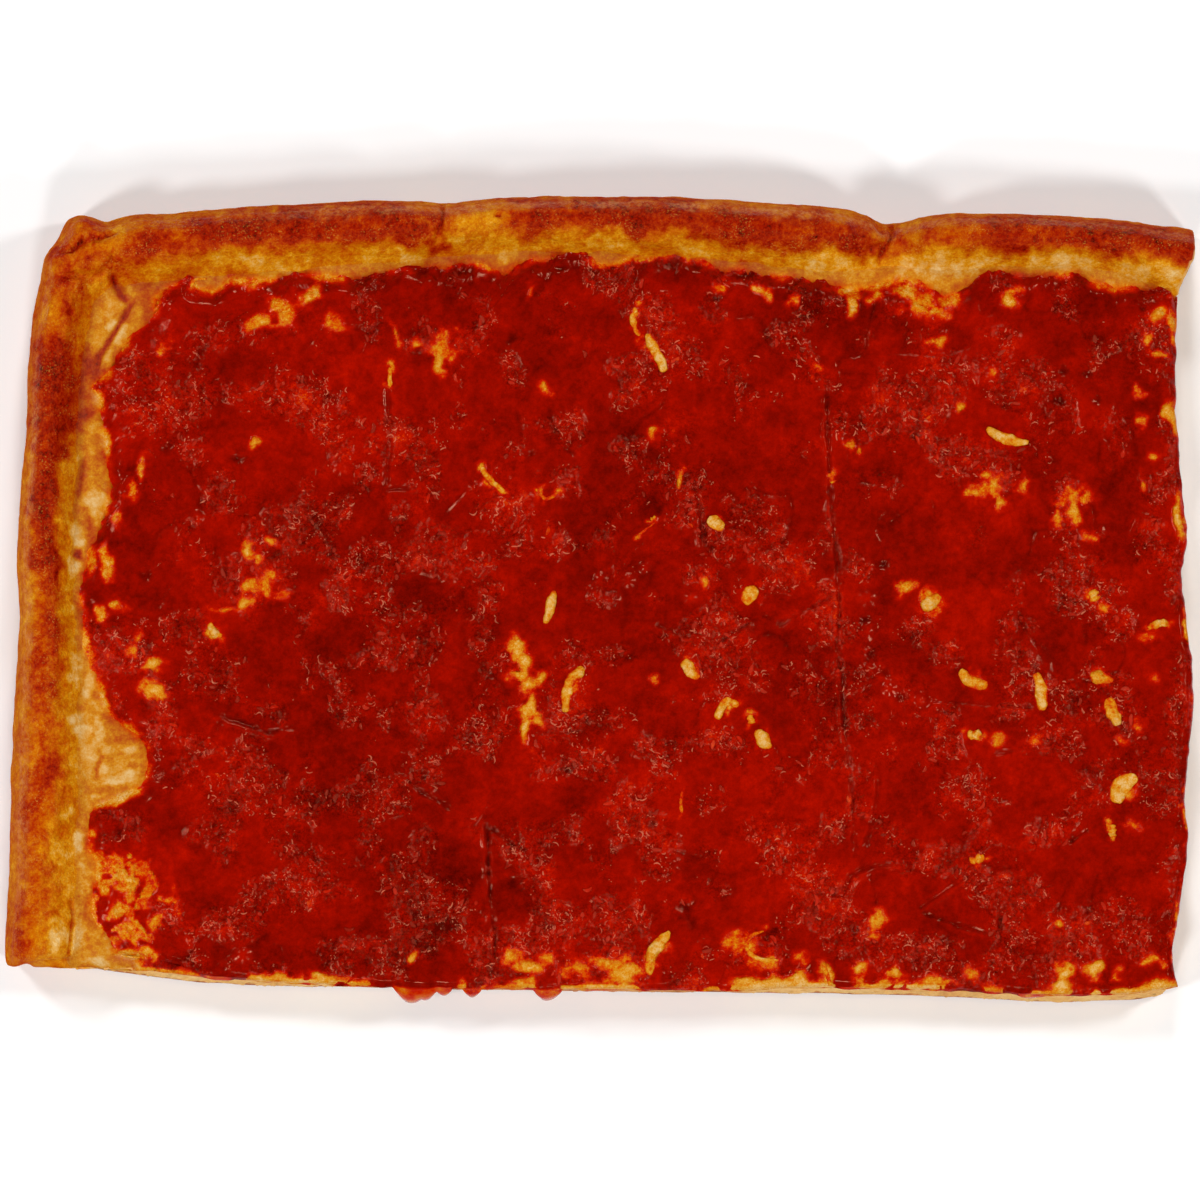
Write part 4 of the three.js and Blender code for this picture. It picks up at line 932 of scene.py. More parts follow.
def crust_tone(x, y):
    """Tone of the crust seen from above, and its share of the way in from the rim's edge."""
    left, top = rim_share(x, y)
    share = np.clip(np.minimum(left, top), 0, 1.4)
    across = share + uneven(x, y, (0.10, 14, 300), (0.09, 5, 301), (0.07, 2.2, 302))
    tone = 0.49 - 0.19 * smooth_step(0.5, 1.0, across)
    tone += uneven(x, y, (0.08, 8, 303), (0.1, 3, 304), (0.07, 1.3, 305))
    tone += 0.37 * browning(x, y, across, left < top)
    pale = spots_at(PALE_PLACES, x, y, 1.5)
    paler = np.where(left < top, 0.24, 0.12)
    tone -= paler * smooth_step(0.15, 0.7, pale + 0.4 * noise(x, y, 2.6, 306) * (pale > 0))
    tone += 0.15 * spots_at(LOBES, x, y, 1.5) + 0.22 * spots_at(BROWN_PLACES, x, y, 1.5)
    tone = mix(np.minimum(tone, 0.8 + 0.25 * (tone - 0.8)), 0.66, 0.7 * stain(x, y))
    column = grid_place(x, y)[0]
    edge = smooth_step(0.12, 0.05, top + 0.06 * noise(x, y, 3, 307))
    for first, last in BURNT:
        tone = mix(tone, 0.86, between(column, first, first + 5, last - 5, last) * edge)
    # painted shade in the folds, and the darkened specks
    dark = dough_folds(x, y)[1]
    return mix(tone, 0.9, 0.9 * np.clip(dark, 0, 1)), share


def side_tone(points, facing, tone, share):
    """Tone of the crust with its outer walls and its underside."""
    x, y, z = points.T
    wall = 0.47 + uneven(x, y, (0.1, 15, 330), (0.08, 5, 331), (0.05, 2, 333), z=z)
    wall += 0.12 * smooth_step(7, 1, z) + 0.1 * smooth_step(14, 22, z)
    side = smooth_step(0.5, 0.1, facing[:, 2]) * (share < 0.4)
    side *= smooth_step(23.5, 18.5, z + 1.5 * noise(x, y, 6, 334))
    base = 0.58 + 0.12 * noise(x, y, 18, 332)
    return mix(mix(tone, wall, side), base, smooth_step(-0.5, -0.9, facing[:, 2]))


def crumb_tone(points):
    """Tone of the cut faces: pink where sauce soaked in, brown along the base."""
    x, y, z = points.T
    pink = between(x, *PINK_SPAN) * (y < 0)
    tone = 0.3 + 0.34 * pink + uneven(x, y, (0.2, 8, 309), (0.1, 3, 311), z=z)
    return np.maximum(tone, smooth_step(1.9, 0.8, z + 0.4 * noise(x, y, 4, 310)))


def crumb_share(points, facing):
    """1 on the cut faces."""
    x, y = points.T[:2]
    low = smooth_step(1.2, 0.4, y - BOTTOM_CUT(x)) * smooth_step(*CRUMB_START, x)
    low = low * smooth_step(-0.05, -0.3, facing[:, 1])
    right = smooth_step(1.6, 0.8, RIGHT_CUT(y) - x) * (y < RIM_END)
    right = right * smooth_step(0.05, 0.3, facing[:, 0])
    end = 0.8 * smooth_step(*END_FACE, x) * (y > RIM_END - 4) * smooth_step(0.2, 0.5, facing[:, 0])
    return np.clip(np.maximum(np.maximum(low, right), end), 0, 1)


def thin_out_hidden(obj):
    """One flat face in place of the many that the toppings cover, and of those underneath."""
    mesh = bmesh.new()
    mesh.from_mesh(obj.data)
    count = len(obj.data.polygons)
    middles, facing = np.empty(count * 3), np.empty(count * 3)
    obj.data.polygons.foreach_get("center", middles)
    obj.data.polygons.foreach_get("normal", facing)
    x, y, z = middles.reshape(-1, 3).T / MM
    up = facing.reshape(-1, 3)[:, 2]
    inside = (x < RIGHT_CUT(y) - FROM_CUT) & (y > BOTTOM_CUT(x) + FROM_CUT)
    covered = (abs(z - SLAB_TOP) < LEVEL_GAP) & (up > 0.99) & inside
    covered &= (x > LEFT_FOOT(y) + FROM_FOOT) & (y < TOP_FOOT(x) - FROM_FOOT)
    below = (z < LEVEL_GAP) & (up < -0.99) & inside
    below &= (x > LEFT_EDGE(y) + FROM_EDGE) & (y < TOP_EDGE(x) - FROM_EDGE)
    mesh.faces.ensure_lookup_table()
    hidden = [mesh.faces[n] for n in np.flatnonzero(covered | below)]
    bmesh.ops.delete(mesh, geom=hidden, context="FACES")
    open_edges = [edge for edge in mesh.edges if edge.is_boundary]
    bmesh.ops.holes_fill(mesh, edges=open_edges, sides=0)
    mesh.to_mesh(obj.data)
    mesh.free()


def dough_relief(points, facing, crumb):
    """How far the skin, the folds and the pores of the crumb move each point outwards."""
    x, y, z = points.T
    skin = uneven(x, y, (0.35, 7, 340), (0.2, 3.1, 341), (0.09, 1.6, 342), z=z)
    skin += 0.3 * smooth_step(0.5, 0.2, abs(facing[:, 2]))
    pores = grains(x + z, z * 1.25 - y, 2.7, 350) * (noise(x + y, z, 2.6, 351) > 0.1)
    pores += 0.5 * grains(x - y, z * 1.4, 1.7, 352)
    upper = smooth_step(0.1, 0.5, facing[:, 2]) * (z > SLAB_TOP + 0.3)
    move = skin * (1 - crumb) - PORE_DEPTH * pores * crumb * (z > 1.2)
    move -= dough_folds(x, y)[0] * upper
    covered = (z < SLAB_TOP + 0.4) & (facing[:, 2] > 0.7)
    return move * ((z > 0.6) & ~covered)


def fill_out(points, x, y, z):
    """Swells or shrinks the corner and the ends of the rim, and fills out the long cut."""
    for column, row, radius, along, across in SWELLS:
        swell = spot(x, y, at(column, row), radius, radius) * smooth_step(-2, 1, z)
        points += swell[:, None] * (along, across, 0)
    to_cut = y - BOTTOM_CUT(x)
    fuller = np.maximum(FULL_EDGE(x) - dough_flare(np.clip(z, 0, SLAB_TOP)), 0)
    points[:, 1] -= fuller * smooth_step(5, 0, to_cut) * smooth_step(1, 4, z)
    points[:, 2] -= 2.2 * smooth_step(4.5, -0.5, to_cut) ** 2 * smooth_step(16, 20, z)


def sheen_share(x, y, share):
    """Strength of the painted sheen, a reflection that runs along the outer edge of each rim."""
    column, row = grid_place(x, y)
    left, top = rim_share(x, y)
    ragged = uneven(x, y, (0.05, 3.5, 315), (0.05, 1.5, 316))
    band = np.exp(-(((share + ragged - 0.13) / 0.08) ** 2)) * (0.75 + 0.5 * noise(x, y, 9, 308))
    return np.clip(band * np.where(left < top, LEFT_SHEEN(row), TOP_SHEEN(column)), 0, 1)


def make_dough():
    """The slab and its rim, with their skin, folds, tones and crumb."""
    dough = copy_of("bread", "dough")
    apply_modifier(dough, "REMESH", mode="VOXEL", voxel_size=VOXEL * MM)
    apply_modifier(dough, "SMOOTH", factor=0.5, iterations=3)
    thin_out_hidden(dough)
    mesh = dough.data
    points, facing = coordinates(mesh), read(mesh, "normal")
    x, y, z = points.T.copy()
    crumb = crumb_share(points, facing)
    tone, share = crust_tone(x, y)
    tone = side_tone(points, facing, tone, share)
    points += facing * dough_relief(points, facing, crumb)[:, None]
    fill_out(points, x, y, z)
    points = np.clip(points, SOLID_BOX[0], SOLID_BOX[1])
    move_to(mesh, points)
    mark(mesh, tone, "crust")
    mark(mesh, np.ones(len(x)), "bare")
    mark(mesh, crumb, "crumb")
    mark(mesh, np.maximum(crumb, smooth_step(0.65, 0.3, facing[:, 2])), "dry")
    mark(mesh, crumb_tone(points), "crumb_tone")
    mark(mesh, sheen_share(x, y, share) * smooth_step(0.15, 0.5, facing[:, 2]), "sheen")
    return dough


# Cheese layer


def bare_share(x, y):
    """1 where the sauce stops short of the rim and leaves the layer below bare."""
    return smooth_step(2.0, -1.0, inside_margin(x, y))


def cheese_place(u, v):
    """Where the layer lies: under the foot of the rims, and out to the cuts."""
    return patch_between(
        lambda p: LEFT_FOOT(p) - UNDER_LEFT,
        lambda p: RIGHT_CUT(p) - 0.2,
        lambda p: full_cut(p) + 0.2,
        lambda p: TOP_FOOT(p) + UNDER_TOP,
        u,
        v,
    )


def make_cheese(dough):
    """The melted layer, without the parts that the sauce covers."""
    u, v, (left, right, below, above), beyond = lay_out(CHEESE_SIZE, CHEESE_CELL, CHEESE_HEM)
    x, y = cheese_place(u, v)
    rise, bare = cheese_rise(x, y), bare_share(x, y)
    to_rim, to_cut = np.minimum(left, above), np.minimum(right, below)
    bumps = uneven(x, y, (0.45, 6, 210), (0.25, 2.6, 211), (0.12, 1.4, 212))
    z = CHEESE_TOP - 0.1 + 0.2 * noise(x, y, 5, 213) + bare * (0.3 + 1.1 * bumps)
    z -= 0.8 * bare * dough_folds(x, y)[0]
    shown = rise > -0.5
    lift = sauce_level(x, y) + np.minimum(rise, 0.8) - 0.15 - z
    z += np.where(shown, np.maximum(lift, 0), 0) * smooth_step(2.5, 8.0, inside_margin(x, y))
    near = (to_rim < 11) & (bare > 0.02)
    slope = Ground(dough).heights(x[near], y[near], 0) - 0.25
    z[near] = FILLET * np.logaddexp(slope / FILLET, z[near] / FILLET)
    z[near] -= 1.4 * smooth_step(2.0, 0.0, to_rim[near])
    z -= 0.6 * smooth_step(1.5, 0, to_cut) + bare * smooth_step(4.0, 0, below)
    down = np.minimum(sum(beyond), 1)
    low = SLAB_TOP - 1.3 - 0.6 * smooth_step(0.1, 0.7, noise(x, y, 6, 217)) * (beyond[2] > 0)
    z = mix(z, low, down)
    out = 0.25 * np.sin(np.pi * down) + 0.15 * noise(x, y, 3, 216) - 1.4 * down**2
    lean = dough_flare(np.clip(z, 0, SLAB_TOP)) + 0.2
    x, y = x + out * (beyond[1] > 0), y - (out + lean) * (beyond[2] > 0)
    obj, index = sheet("melted_cheese", np.dstack([x, y, z]))
    edge = 0.58 + 0.36 * BOTTOM_CHEESE(grid_place(x, y)[0]) + 0.25 * bumps
    tone = topping_tone(x, y, 0.0, 0.0, rise)
    tone = np.where((below < 1.2) & (bare < 0.5), np.maximum(tone, edge), tone)
    mark(obj.data, tone[index], "tone")
    crust = crust_tone(x, y)[0] + 0.04 * bare * smooth_step(2, 8, to_rim)
    mark(obj.data, crust[index], "crust")
    mark(obj.data, bare[index], "bare")
    keep_only(obj, (shown | (bare > 0.02) | (to_cut < 4.0))[index])
    return obj


# Sauce


def run_down(x):
    """How far the sauce comes down over the long cut, and how far out it stands there."""
    drop = 0.35 + 0.5 * noise(x, x, 7, 420) + 0.4 * noise(x, x, 3, 421)
    out = np.zeros_like(x)
    for column, half, length, stands in RUNS:
        place = at(column, 0)[0]
        shape = np.clip(1 - ((x - place) / half) ** 2, 0, 1) ** 0.7
        drop = np.maximum(drop, length * shape)
        out = np.maximum(out, stands * shape)
    return np.maximum(drop, 0.3), out


def sauce_place(u, v):
    """Where the sauce lies: between its margins along the rims and the two cuts."""
    start, end, short = SHORT_OF_CUT

    def ragged(p, seed):
        return uneven(p, p, (1, 3.4, seed), (0.6, 1.5, seed + 1))

    return patch_between(
        lambda p: SAUCE_LEFT(p) + ragged(p, 400) - 0.6,
        lambda p: RIGHT_CUT(p) + 0.3 * noise(p, p, 4, 402) - 0.2,
        lambda p: full_cut(p) + 0.3 * noise(p, p, 4, 403) + 0.2 + short * smooth_step(start, end, p),
        lambda p: SAUCE_TOP(p) + ragged(p, 404) + 0.6,
        u,
        v,
    )


def sauce_height(x, y, rise, melted, to_rim, to_cut, ground):
    """Height of the sauce, which thins out towards the rims and rounds off at the cuts."""
    thin = smooth_step(7.0, 0.0, to_rim + 1.5 * noise(x, y, 6, 406))
    floor = np.full_like(x, CHEESE_TOP)
    near = to_rim < 12
    floor[near] = ground.heights(x[near], y[near], CHEESE_TOP)
    rise = rise * (1 - 0.6 * melted)
    full = np.maximum(sauce_level(x, y) + rise - 0.3 * melted, floor + 0.3 + 0.5 * rise)
    lying = floor - 0.5 + 1.1 * smooth_step(0, 4.5, to_rim) + 0.55 * rise
    return mix(full, np.minimum(lying, full), thin) - 0.9 * smooth_step(2.2, 0, to_cut) ** 2


def hang_down(x, y, z, tone, beyond):
    """Turns the hem down, and lets the sauce run over the long cut."""
    rims, right, low = np.maximum(beyond[0], beyond[3]), beyond[1], beyond[2]
    drop, out = run_down(x)
    edge = z
    z = z - 1.5 * rims - right * (z - CHEESE_TOP + 0.3 + 0.4 * noise(y, y, 5, 422))
    z = np.where(low > 0, mix(edge, CHEESE_TOP + 0.8 - drop, low), z)
    round_out = 0.5 * np.sin(np.pi * np.maximum(right, low))
    lean = dough_flare(np.clip(z, 0, SLAB_TOP)) * (z < SLAB_TOP)
    red = 0.61 + 0.14 * noise(x, z, 2, 415)
    tone = mix(tone, red, smooth_step(0.6, 1.8, drop) * (low > 0))
    x = x + round_out * (right > 0)
    y = y - ((round_out + 0.5 * out) * np.sin(np.pi * np.minimum(low, 0.5)) + lean) * (low > 0)
    y -= 0.5 * out * smooth_step(0.0, 0.4, low)
    return np.dstack([x, y, z]), tone


def make_sauce(ground):
    """The sauce as one sheet in several pieces, with the open sauce's points and their tones."""
    u, v, (left, right, below, above), beyond = lay_out(SAUCE_SIZE, SAUCE_CELL, SAUCE_HEM)
    x, y = sauce_place(u, v)
    rise, shade, smooth, pulpy = sauce_relief(x, y)
    cheese = cheese_rise(x, y)
    melted = smooth_step(-0.6, 0.6, cheese)
    to_rim, to_cut = np.minimum(left, above), np.minimum(right, below)
    to_rim = np.minimum(to_rim, np.maximum(inside_margin(x, y), 0) + 1.0)
    z = sauce_height(x, y, rise, melted, to_rim, to_cut, ground)
    tone = topping_tone(x, y, shade, smooth, cheese)
    thinner = smooth_step(3.4, 0.0, to_rim + 1.2 * noise(x, y, 2.4, 414)) * (tone < 0.6)
    tone += np.where(left < above, 0.22, 0.06) * thinner
    # painted shade: the sauce is darker just below the top rim
    tone -= 0.06 * smooth_step(12, 4, above) * (cheese < -0.6)
    points, tone = hang_down(x, y, z, tone, beyond)
    ends = np.linspace(0, points.shape[1] - 1, SAUCE_PIECES + 1).astype(int)
    pieces = []
    for number, (first, last) in enumerate(zip(ends, ends[1:])):
        part = np.s_[:, first : last + 1]
        obj, index = sheet(f"wet_sauce_{number + 1}", points[part])
        mark(obj.data, tone[part][index], "tone")
        mark(obj.data, 1 - np.maximum(pulpy, melted)[part][index], "smooth")
        pieces.append(obj)
    open_sauce = (cheese < -0.4) & (to_rim > 3) & (to_cut > 2) & (sum(beyond) == 0)
    return pieces, points[open_sauce], tone[open_sauce]


def crests_at(x, y):
    """How strong the sauce's crests are at each place, and the direction that they run in."""
    here = ridges(x, y, *CRESTS)
    right, up = ridges(x + 0.1, y, *CRESTS) - here, ridges(x, y + 0.1, *CRESTS) - here
    return here, np.arctan2(up, right) + math.pi / 2


def make_bits(points, tones, ground, name, seed, count, rounds, widths, stretches, bends, glint_shares, follow):
    """Bits of crushed tomato that lie in the sauce, bent and drawn out, as one piece."""
    draw = np.random.default_rng(seed)
    order = draw.permutation(len(points))[: TRIES * count]
    x, y, _ = points[order].T
    dense = pulpiness(x, y, smoothness(x, y)) > draw.uniform(*THINNING, len(x))
    crest, run = crests_at(x, y)
    if follow:
        dense &= (crest > FLANKS[0]) & (crest < FLANKS[1])
    chosen = np.flatnonzero(dense)[:count]
    tones = tones[order][chosen] + draw.uniform(*TONE_SPREAD, len(chosen))
    middle_x, middle_y = x[chosen, None], y[chosen, None]
    half = draw.uniform(*widths, (len(chosen), 1))
    stretch = draw.uniform(*stretches, (len(chosen), 1))
    turn = run[chosen, None] + draw.uniform(*TURN_SPREAD, (len(chosen), 1))
    bend = draw.uniform(-bends, bends, (len(chosen), 1))
    bpy.ops.mesh.primitive_ico_sphere_add(subdivisions=rounds, radius=1)
    obj = bpy.context.object
    px, py, pz = read(obj.data, "co").T
    faces = np.array([face.vertices for face in obj.data.polygons])
    lumpy = 1 + 0.3 * noise(px + 9 * turn, py + 5 * bend, 1.0, 500)
    along = half * stretch * px
    across = half * (py * lumpy + bend * stretch * px**2)
    x = middle_x + along * np.cos(turn) - across * np.sin(turn)
    y = middle_y + along * np.sin(turn) + across * np.cos(turn)
    if follow:
        z = ground.heights(x.ravel(), y.ravel(), CHEESE_TOP).reshape(x.shape)
    else:
        z = points[order][chosen, 2:]
    shape = np.stack([x, y, z + half * 0.5 * pz * lumpy], axis=-1)
    first = np.arange(len(chosen))[:, None, None] * len(px)
    mesh = bpy.data.meshes.new(name)
    mesh.from_pydata((shape.reshape(-1, 3) * MM).tolist(), [], (faces + first).reshape(-1, 3).tolist())
    mark(mesh, np.repeat(tones, len(px)), "tone")
    # painted highlight: how pale each bit is drawn, to stand in for a glint
    mark(mesh, np.repeat(draw.uniform(*glint_shares, len(chosen)), len(px)), "pale")
    obj.name, obj.data = name, mesh
    return obj


# Shreds of cheese


def shred_tone(points, level):
    """Cream on top of a shred, yellow on its flanks and orange where it sinks into the sauce."""
    x, y, z = points.T
    out = z - level + uneven(x, y, (0.15, 1.6, 600), (0.25, 3.0, 601))
    tone = 0.52 + 0.26 * smooth_step(-0.15, 0.4, out) + 0.17 * smooth_step(0.3, 0.85, out)
    return tone + 0.09 * noise(x, y, 1.0, 602)


def make_shred(node, name, ground):
    """A larger shred, swollen unevenly and sunk into what lies under it."""
    obj = copy_of(node, name)
    apply_modifier(obj, "SUBSURF", levels=3)
    points, facing = coordinates(obj.data), read(obj.data, "normal")
    x, y, z = points.T.copy()
    swell = 0.2 + uneven(x, y, (0.45, 3.0, 610), (0.3, 1.4, 611), z=z)
    points += facing * swell[:, None]
    level = float(np.median(ground.heights(x[::40], y[::40], CHEESE_TOP)))
    points[:, 2] = level + SHRED_RISE + SHRED_HEIGHT * (points[:, 2] - points[:, 2].max())
    points[:, 2] += 0.25 * noise(x, y, 2.4, 612)
    local = ground.heights(points[:, 0], points[:, 1], CHEESE_TOP)
    points[:, 2] += 0.8 * (local - level)
    move_to(obj.data, points)
    mark(obj.data, shred_tone(points, local), "tone")
    return obj


def thread_middle(spots):
    """A soft line of evenly spaced places along one of the smaller shreds."""
    lengths = np.r_[0, np.cumsum(np.hypot(*np.diff(spots, axis=0).T))]
    reach = np.linspace(0, lengths[-1], THREAD_RINGS)
    middle = np.c_[np.interp(reach, lengths, spots[:, 0]), np.interp(reach, lengths, spots[:, 1])]
    for _ in range(3):
        middle[1:-1] = (middle[:-2] + 2 * middle[1:-1] + middle[2:]) / 4
    return middle


def thread_points(path, width, ground):
    """Rings of points along one of the smaller shreds, which narrow at its ends."""
    spots = places(path)
    middle = thread_middle(spots)
    along = np.gradient(middle, axis=0)
    along /= np.hypot(*along.T)[:, None]
    up = ground.heights(middle[:, 0], middle[:, 1], CHEESE_TOP)
    full = np.sqrt(np.clip(1 - 0.97 * np.linspace(-1, 1, THREAD_RINGS) ** 6, 0, 1))
    n, k = np.mgrid[0:THREAD_RINGS, 0:THREAD_SIDES]
    angle = 2 * math.pi * k / THREAD_SIDES
    half = width / 2 * full[:, None] * (1 + 0.35 * noise(0.9 * n + spots[0, 0], 0.7 * k, 2.2, 620))
    across = half * np.cos(angle)
    x, y = middle[:, :1] - along[:, 1:] * across, middle[:, 1:] + along[:, :1] * across
    z = up[:, None] - THREAD_SINK + THREAD_HEIGHT * half * np.sin(angle)
    return np.dstack([x, y, z]).reshape(-1, 3)


def tube_faces(first):
    """The sides and the two ends of a tube whose points start at first."""
    last = first + (THREAD_RINGS - 1) * THREAD_SIDES
    faces = []
    for ring in range(first, last, THREAD_SIDES):
        for k in range(THREAD_SIDES):
            a, b = ring + k, ring + (k + 1) % THREAD_SIDES
            faces.append((a, b, b + THREAD_SIDES, a + THREAD_SIDES))
    ends = tuple(reversed(range(first, first + THREAD_SIDES))), tuple(range(last, last + THREAD_SIDES))
    return [*faces, *ends]


def make_threads(ground):
    """The smaller shreds, as soft tubes that lie half in the sauce."""
    points, faces = [], []
    for path, width in THREADS:
        faces += tube_faces(len(points))
        points += thread_points(path, width, ground).tolist()
    mesh = bpy.data.meshes.new("cheese_threads")
    mesh.from_pydata((np.array(points) * MM).tolist(), [], faces)
    obj = bpy.data.objects.new("cheese_threads", mesh)
    bpy.context.scene.collection.objects.link(obj)
    apply_modifier(obj, "SUBSURF", levels=1)
    points = coordinates(obj.data)
    level = ground.heights(points[:, 0], points[:, 1], CHEESE_TOP)
    mark(obj.data, shred_tone(points, level), "tone")
    return obj


# Materials


class Shader:
    """A material's node tree, with short ways to add and link nodes."""

    def __init__(self, name):
        self.material = bpy.data.materials.new(name)
        self.material.use_nodes = True
        self.tree = self.material.node_tree
        self.surface = self.tree.nodes["Principled BSDF"]

    def add(self, kind, **values):
        node = self.tree.nodes.new(kind)
        for key, value in values.items():
            if hasattr(node, key):
                setattr(node, key, value)
            else:
                node.inputs[key.replace("_", " ")].default_value = value
        return node

    def link(self, start, end):
        self.tree.links.new(start, end)

    def value(self, name):
        """A value that was painted on the vertices."""
        return self.add("ShaderNodeAttribute", attribute_name=name).outputs["Fac"]

    def noise(self, scale, detail=3.0):
        texture = self.add("ShaderNodeTexNoise", Scale=scale, Detail=detail)
        self.link(self.add("ShaderNodeTexCoord").outputs["Object"], texture.inputs["Vector"])
        return texture.outputs["Fac"]

    def spread(self, value, low, high, start=0.0, end=1.0):
        """A value between start and end turned into one from low to high."""
        node = self.add("ShaderNodeMapRange", From_Min=start, From_Max=end, To_Min=low, To_Max=high)
        self.link(value, node.inputs["Value"])
        return node.outputs["Result"]

    def join(self, first, second, operation="ADD"):
        node = self.add("ShaderNodeMath", operation=operation)
        self.link(first, node.inputs[0])
        self.link(second, node.inputs[1])
        return node.outputs["Value"]

    def grained(self, name, *grains):
        """A painted value, made uneven by fine grains of (scale, strength) where it isn't smooth."""
        value = self.value(name)
        rough = self.spread(self.value("smooth"), 1.0, 0.35)
        for scale, strength in grains:
            grain = self.spread(self.noise(scale, 2.0), -strength, strength)
            value = self.join(value, self.join(grain, rough, "MULTIPLY"))
        return value

    def ramp(self, value, tones):
        """The colour of a tone."""
        node = self.add("ShaderNodeValToRGB")
        steps = node.color_ramp.elements
        steps.remove(steps[1])
        for number, (place, colour) in enumerate(tones):
            step = steps.new(place) if number else steps[0]
            step.position = place
            step.color = (*linear(colour), 1)
        self.link(value, node.inputs["Fac"])
        return node.outputs["Color"]

    def plain(self, colour):
        node = self.add("ShaderNodeRGB")
        node.outputs[0].default_value = (*linear(colour), 1)
        return node.outputs[0]

    def mix(self, first, second, share):
        """Mixes two colours, whose sockets share their names with others and go by number."""
        node = self.add("ShaderNodeMix", data_type="RGBA")
        self.link(share, node.inputs["Factor"])
        self.link(first, node.inputs[6])
        self.link(second, node.inputs[7])
        return node.outputs[2]

    def bump(self, layers, strength):
        """Fine bumps on the surface, from the scale and height of each layer."""
        previous = None
        for scale, distance in layers:
            node = self.add("ShaderNodeBump", Distance=distance)
            self.link(strength, node.inputs["Strength"])
            self.link(self.noise(scale), node.inputs["Height"])
            if previous:
                self.link(previous.outputs["Normal"], node.inputs["Normal"])
            previous = node
        self.link(previous.outputs["Normal"], self.surface.inputs["Normal"])

    def set(self, **values):
        for key, value in values.items():
            self.surface.inputs[key.replace("_", " ")].default_value = value


CRUST_GRAINS = [(420, 0.2), (1100, 0.18), (2400, 0.14)]


def dough_material():
    shader = Shader("baked_dough")
    crust = shader.ramp(shader.grained("crust", *CRUST_GRAINS), CRUST_TONES)
    # painted sheen: a pale wrinkled pattern along the outer edge of the rims, in place of their glancing
    # reflection
    wrinkles = shader.spread(shader.noise(800, 2.0), 0.15, 0.85, 0.44, 0.6)
    wrinkled_sheen = shader.join(wrinkles, shader.value("sheen"), "MULTIPLY")
    crust = shader.mix(crust, shader.plain(SHEEN), wrinkled_sheen)
    # painted highlights: pale flecks in place of the small glints of the oily crust
    where = shader.spread(shader.noise(170), 0, 1, 0.45, 0.6)
    glint_flecks = shader.spread(shader.noise(1900, 2.0), 0, 0.4, 0.56, 0.72)
    crust = shader.mix(crust, shader.plain(GLINT_FLECKS), shader.join(glint_flecks, where, "MULTIPLY"))
    crumb = shader.ramp(shader.grained("crumb_tone", (700, 0.25)), CRUMB_TONES)
    colour = shader.mix(crust, crumb, shader.value("crumb"))
    shader.link(colour, shader.surface.inputs["Base Color"])
    shader.link(shader.spread(shader.value("dry"), 0.36, 1.0), shader.surface.inputs["Roughness"])
    shader.bump([(320, 0.0005), (1100, 0.0003)], shader.value("bare"))
    shader.set(Specular_IOR_Level=0.1, Specular_Tint=(1, 0.6, 0.2, 1))
    return shader.material


def topping_material(name, grain, bump, rough, gloss):
    """Sauce and cheese, whose tones are on the same ramp, so that one runs into the other."""
    shader = Shader(name)
    tone = shader.grained("tone", (450, 0.5 * grain), (1250, grain), (2600, grain))
    crust = shader.ramp(shader.grained("crust", *CRUST_GRAINS), CRUST_TONES)
    # painted shade on the bare cheese, which lies level and gets more light
    crust = shader.mix(crust, shader.plain(BARE_CHEESE_SHADE), shader.spread(shader.value("bare"), 0, 0.25))
    colour = shader.mix(shader.ramp(tone, TOPPING_TONES), crust, shader.value("bare"))
    # painted highlight: the pale bits of tomato are mixed towards a pale pink
    colour = shader.mix(colour, shader.plain(SKIN_GLINT), shader.value("pale"))
    shader.link(colour, shader.surface.inputs["Base Color"])
    shader.link(shader.spread(shader.noise(450), *rough), shader.surface.inputs["Roughness"])
    shader.bump(bump, shader.spread(shader.value("smooth"), 1.0, 0.12))
    shader.set(Specular_IOR_Level=gloss, Specular_Tint=(1, 0.56, 0.34, 1))
    return shader.material


# Stage


def make_floor():
    bpy.ops.mesh.primitive_plane_add(size=FLOOR_SIZE, location=(0, 0, FLOOR_HEIGHT))
    floor = bpy.context.object
    floor.name = "floor"
    shader = Shader("pale_floor")
    shader.set(Base_Color=(0.96, 0.96, 0.96, 1), Roughness=1.0, Specular_IOR_Level=0.0)
    floor.data.materials.append(shader.material)


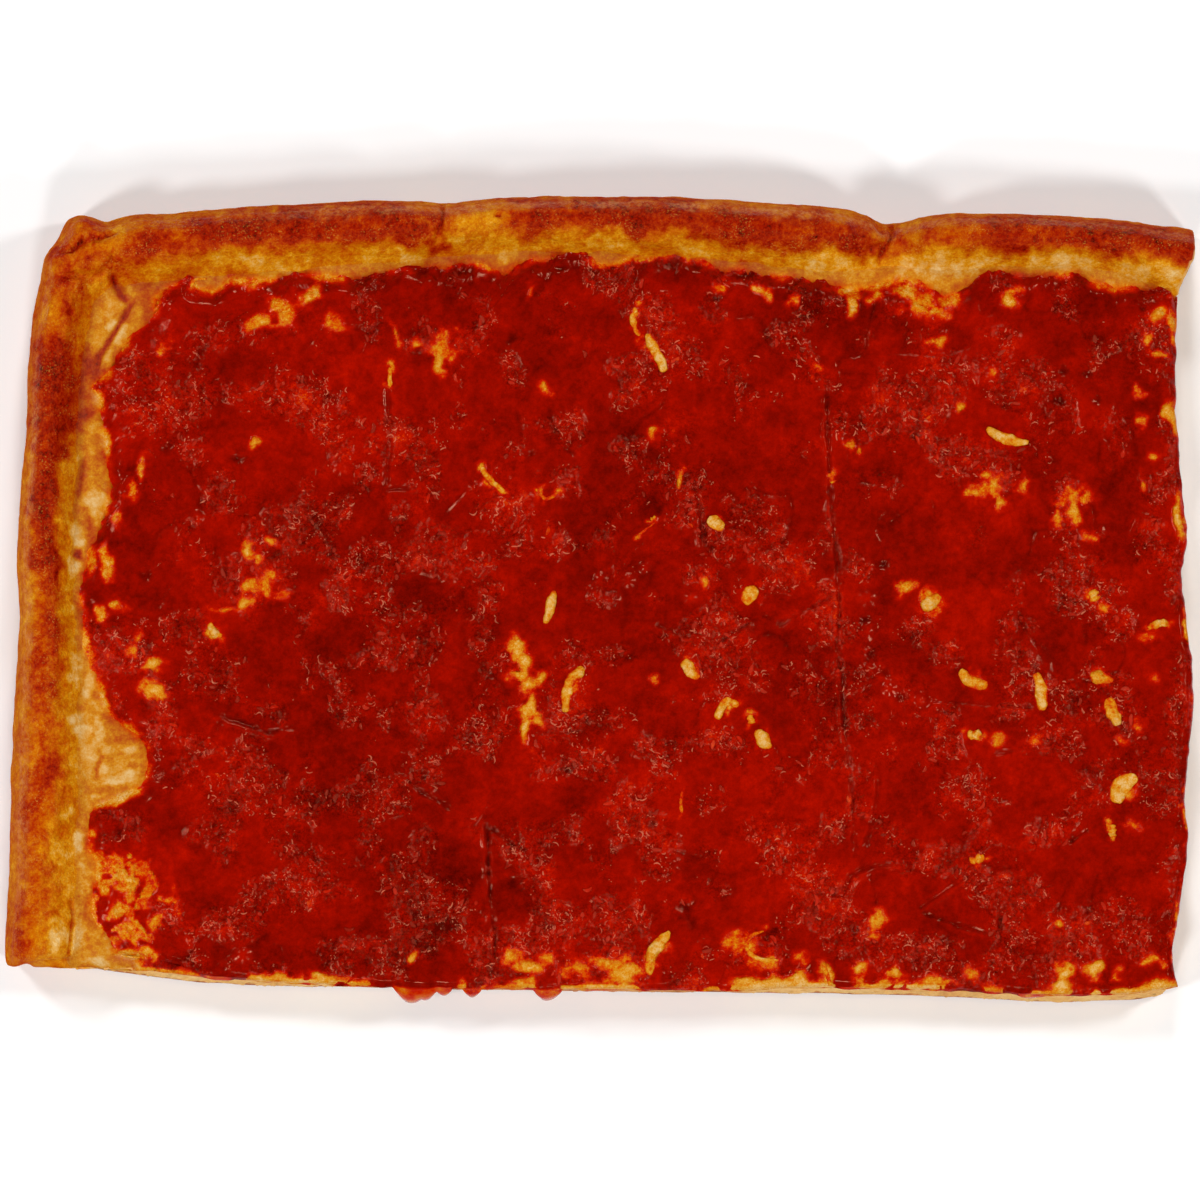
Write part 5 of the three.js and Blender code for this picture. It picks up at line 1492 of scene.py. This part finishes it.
def make_lights():
    world = bpy.data.worlds.new("studio")
    world.use_nodes = True
    sky = world.node_tree.nodes["Background"]
    sky.inputs["Color"].default_value = (1, 1, 1, 1)
    sky.inputs["Strength"].default_value = WORLD_LIGHT
    bpy.context.scene.world = world
    for number, (azimuth, elevation, power) in enumerate(LIGHTS):
        a, e = math.radians(azimuth), math.radians(elevation)
        towards = Vector((math.cos(a) * math.cos(e), math.sin(a) * math.cos(e), math.sin(e)))
        bpy.ops.object.light_add(type="AREA", location=towards * LIGHT_DISTANCE)
        light = bpy.context.object
        light.name = f"softbox_{number + 1}"
        light.data.shape = "DISK"
        light.data.size = LIGHT_WIDTH
        light.data.energy = power
        light.rotation_mode = "QUATERNION"
        light.rotation_quaternion = (-towards).to_track_quat("-Z", "Y")


def make_camera():
    e = math.radians(CAMERA_ELEVATION)
    back = Vector((0, -math.cos(e), math.sin(e)))
    camera = bpy.data.objects.new("camera", bpy.data.cameras.new("camera"))
    bpy.context.scene.collection.objects.link(camera)
    camera.location = Vector((0, 0, AIM_HEIGHT)) + back * CAMERA_DISTANCE
    camera.rotation_mode = "QUATERNION"
    camera.rotation_quaternion = (-back).to_track_quat("-Z", "Y")
    camera.data.sensor_width = SENSOR
    camera.data.lens = SENSOR * CAMERA_DISTANCE / SEEN_WIDTH
    camera.data.clip_start, camera.data.clip_end = 0.01, 50
    bpy.context.scene.camera = camera


def main():
    bpy.ops.object.select_all(action="DESELECT")
    bpy.context.scene.view_settings.view_transform = "Standard"
    make_camera()
    make_lights()
    make_floor()
    dough = make_dough()
    hand_over(dough, dough_material(), "crust", "bread")
    cheese = topping_material(
        "melted_cheese", grain=0.2, bump=[(500, 0.0003)], rough=(0.25, 0.45), gloss=0.08
    )
    layer = make_cheese(dough)
    hand_over(layer, cheese, "cheese", "cheese_layer")
    wet = topping_material(
        "wet_sauce", grain=0.24, bump=[(420, 0.0004), (1300, 0.0002)], rough=(0.08, 0.2), gloss=0.12
    )
    pieces, points, tones = make_sauce(Ground(dough, layer))
    for piece in pieces:
        hand_over(piece, wet, "sauce", "tomato_sauce")
    pulp = topping_material("wet_pulp", grain=0.1, bump=[(1300, 0.0001)], rough=(0.03, 0.2), gloss=0.1)
    sauce = Ground(*pieces)
    for bits in BITS:
        hand_over(make_bits(points, tones, sauce, **bits), pulp, "sauce")
    toppings = Ground(layer, *pieces)
    for number in range(1, SHREDS + 1):
        node = f"cheese_shred_{number:02d}"
        hand_over(make_shred(node, f"melted_shred_{number:02d}", toppings), cheese, "cheese", node)
    hand_over(make_threads(toppings), cheese, "cheese")


main()
bpy.context.view_layer.update()
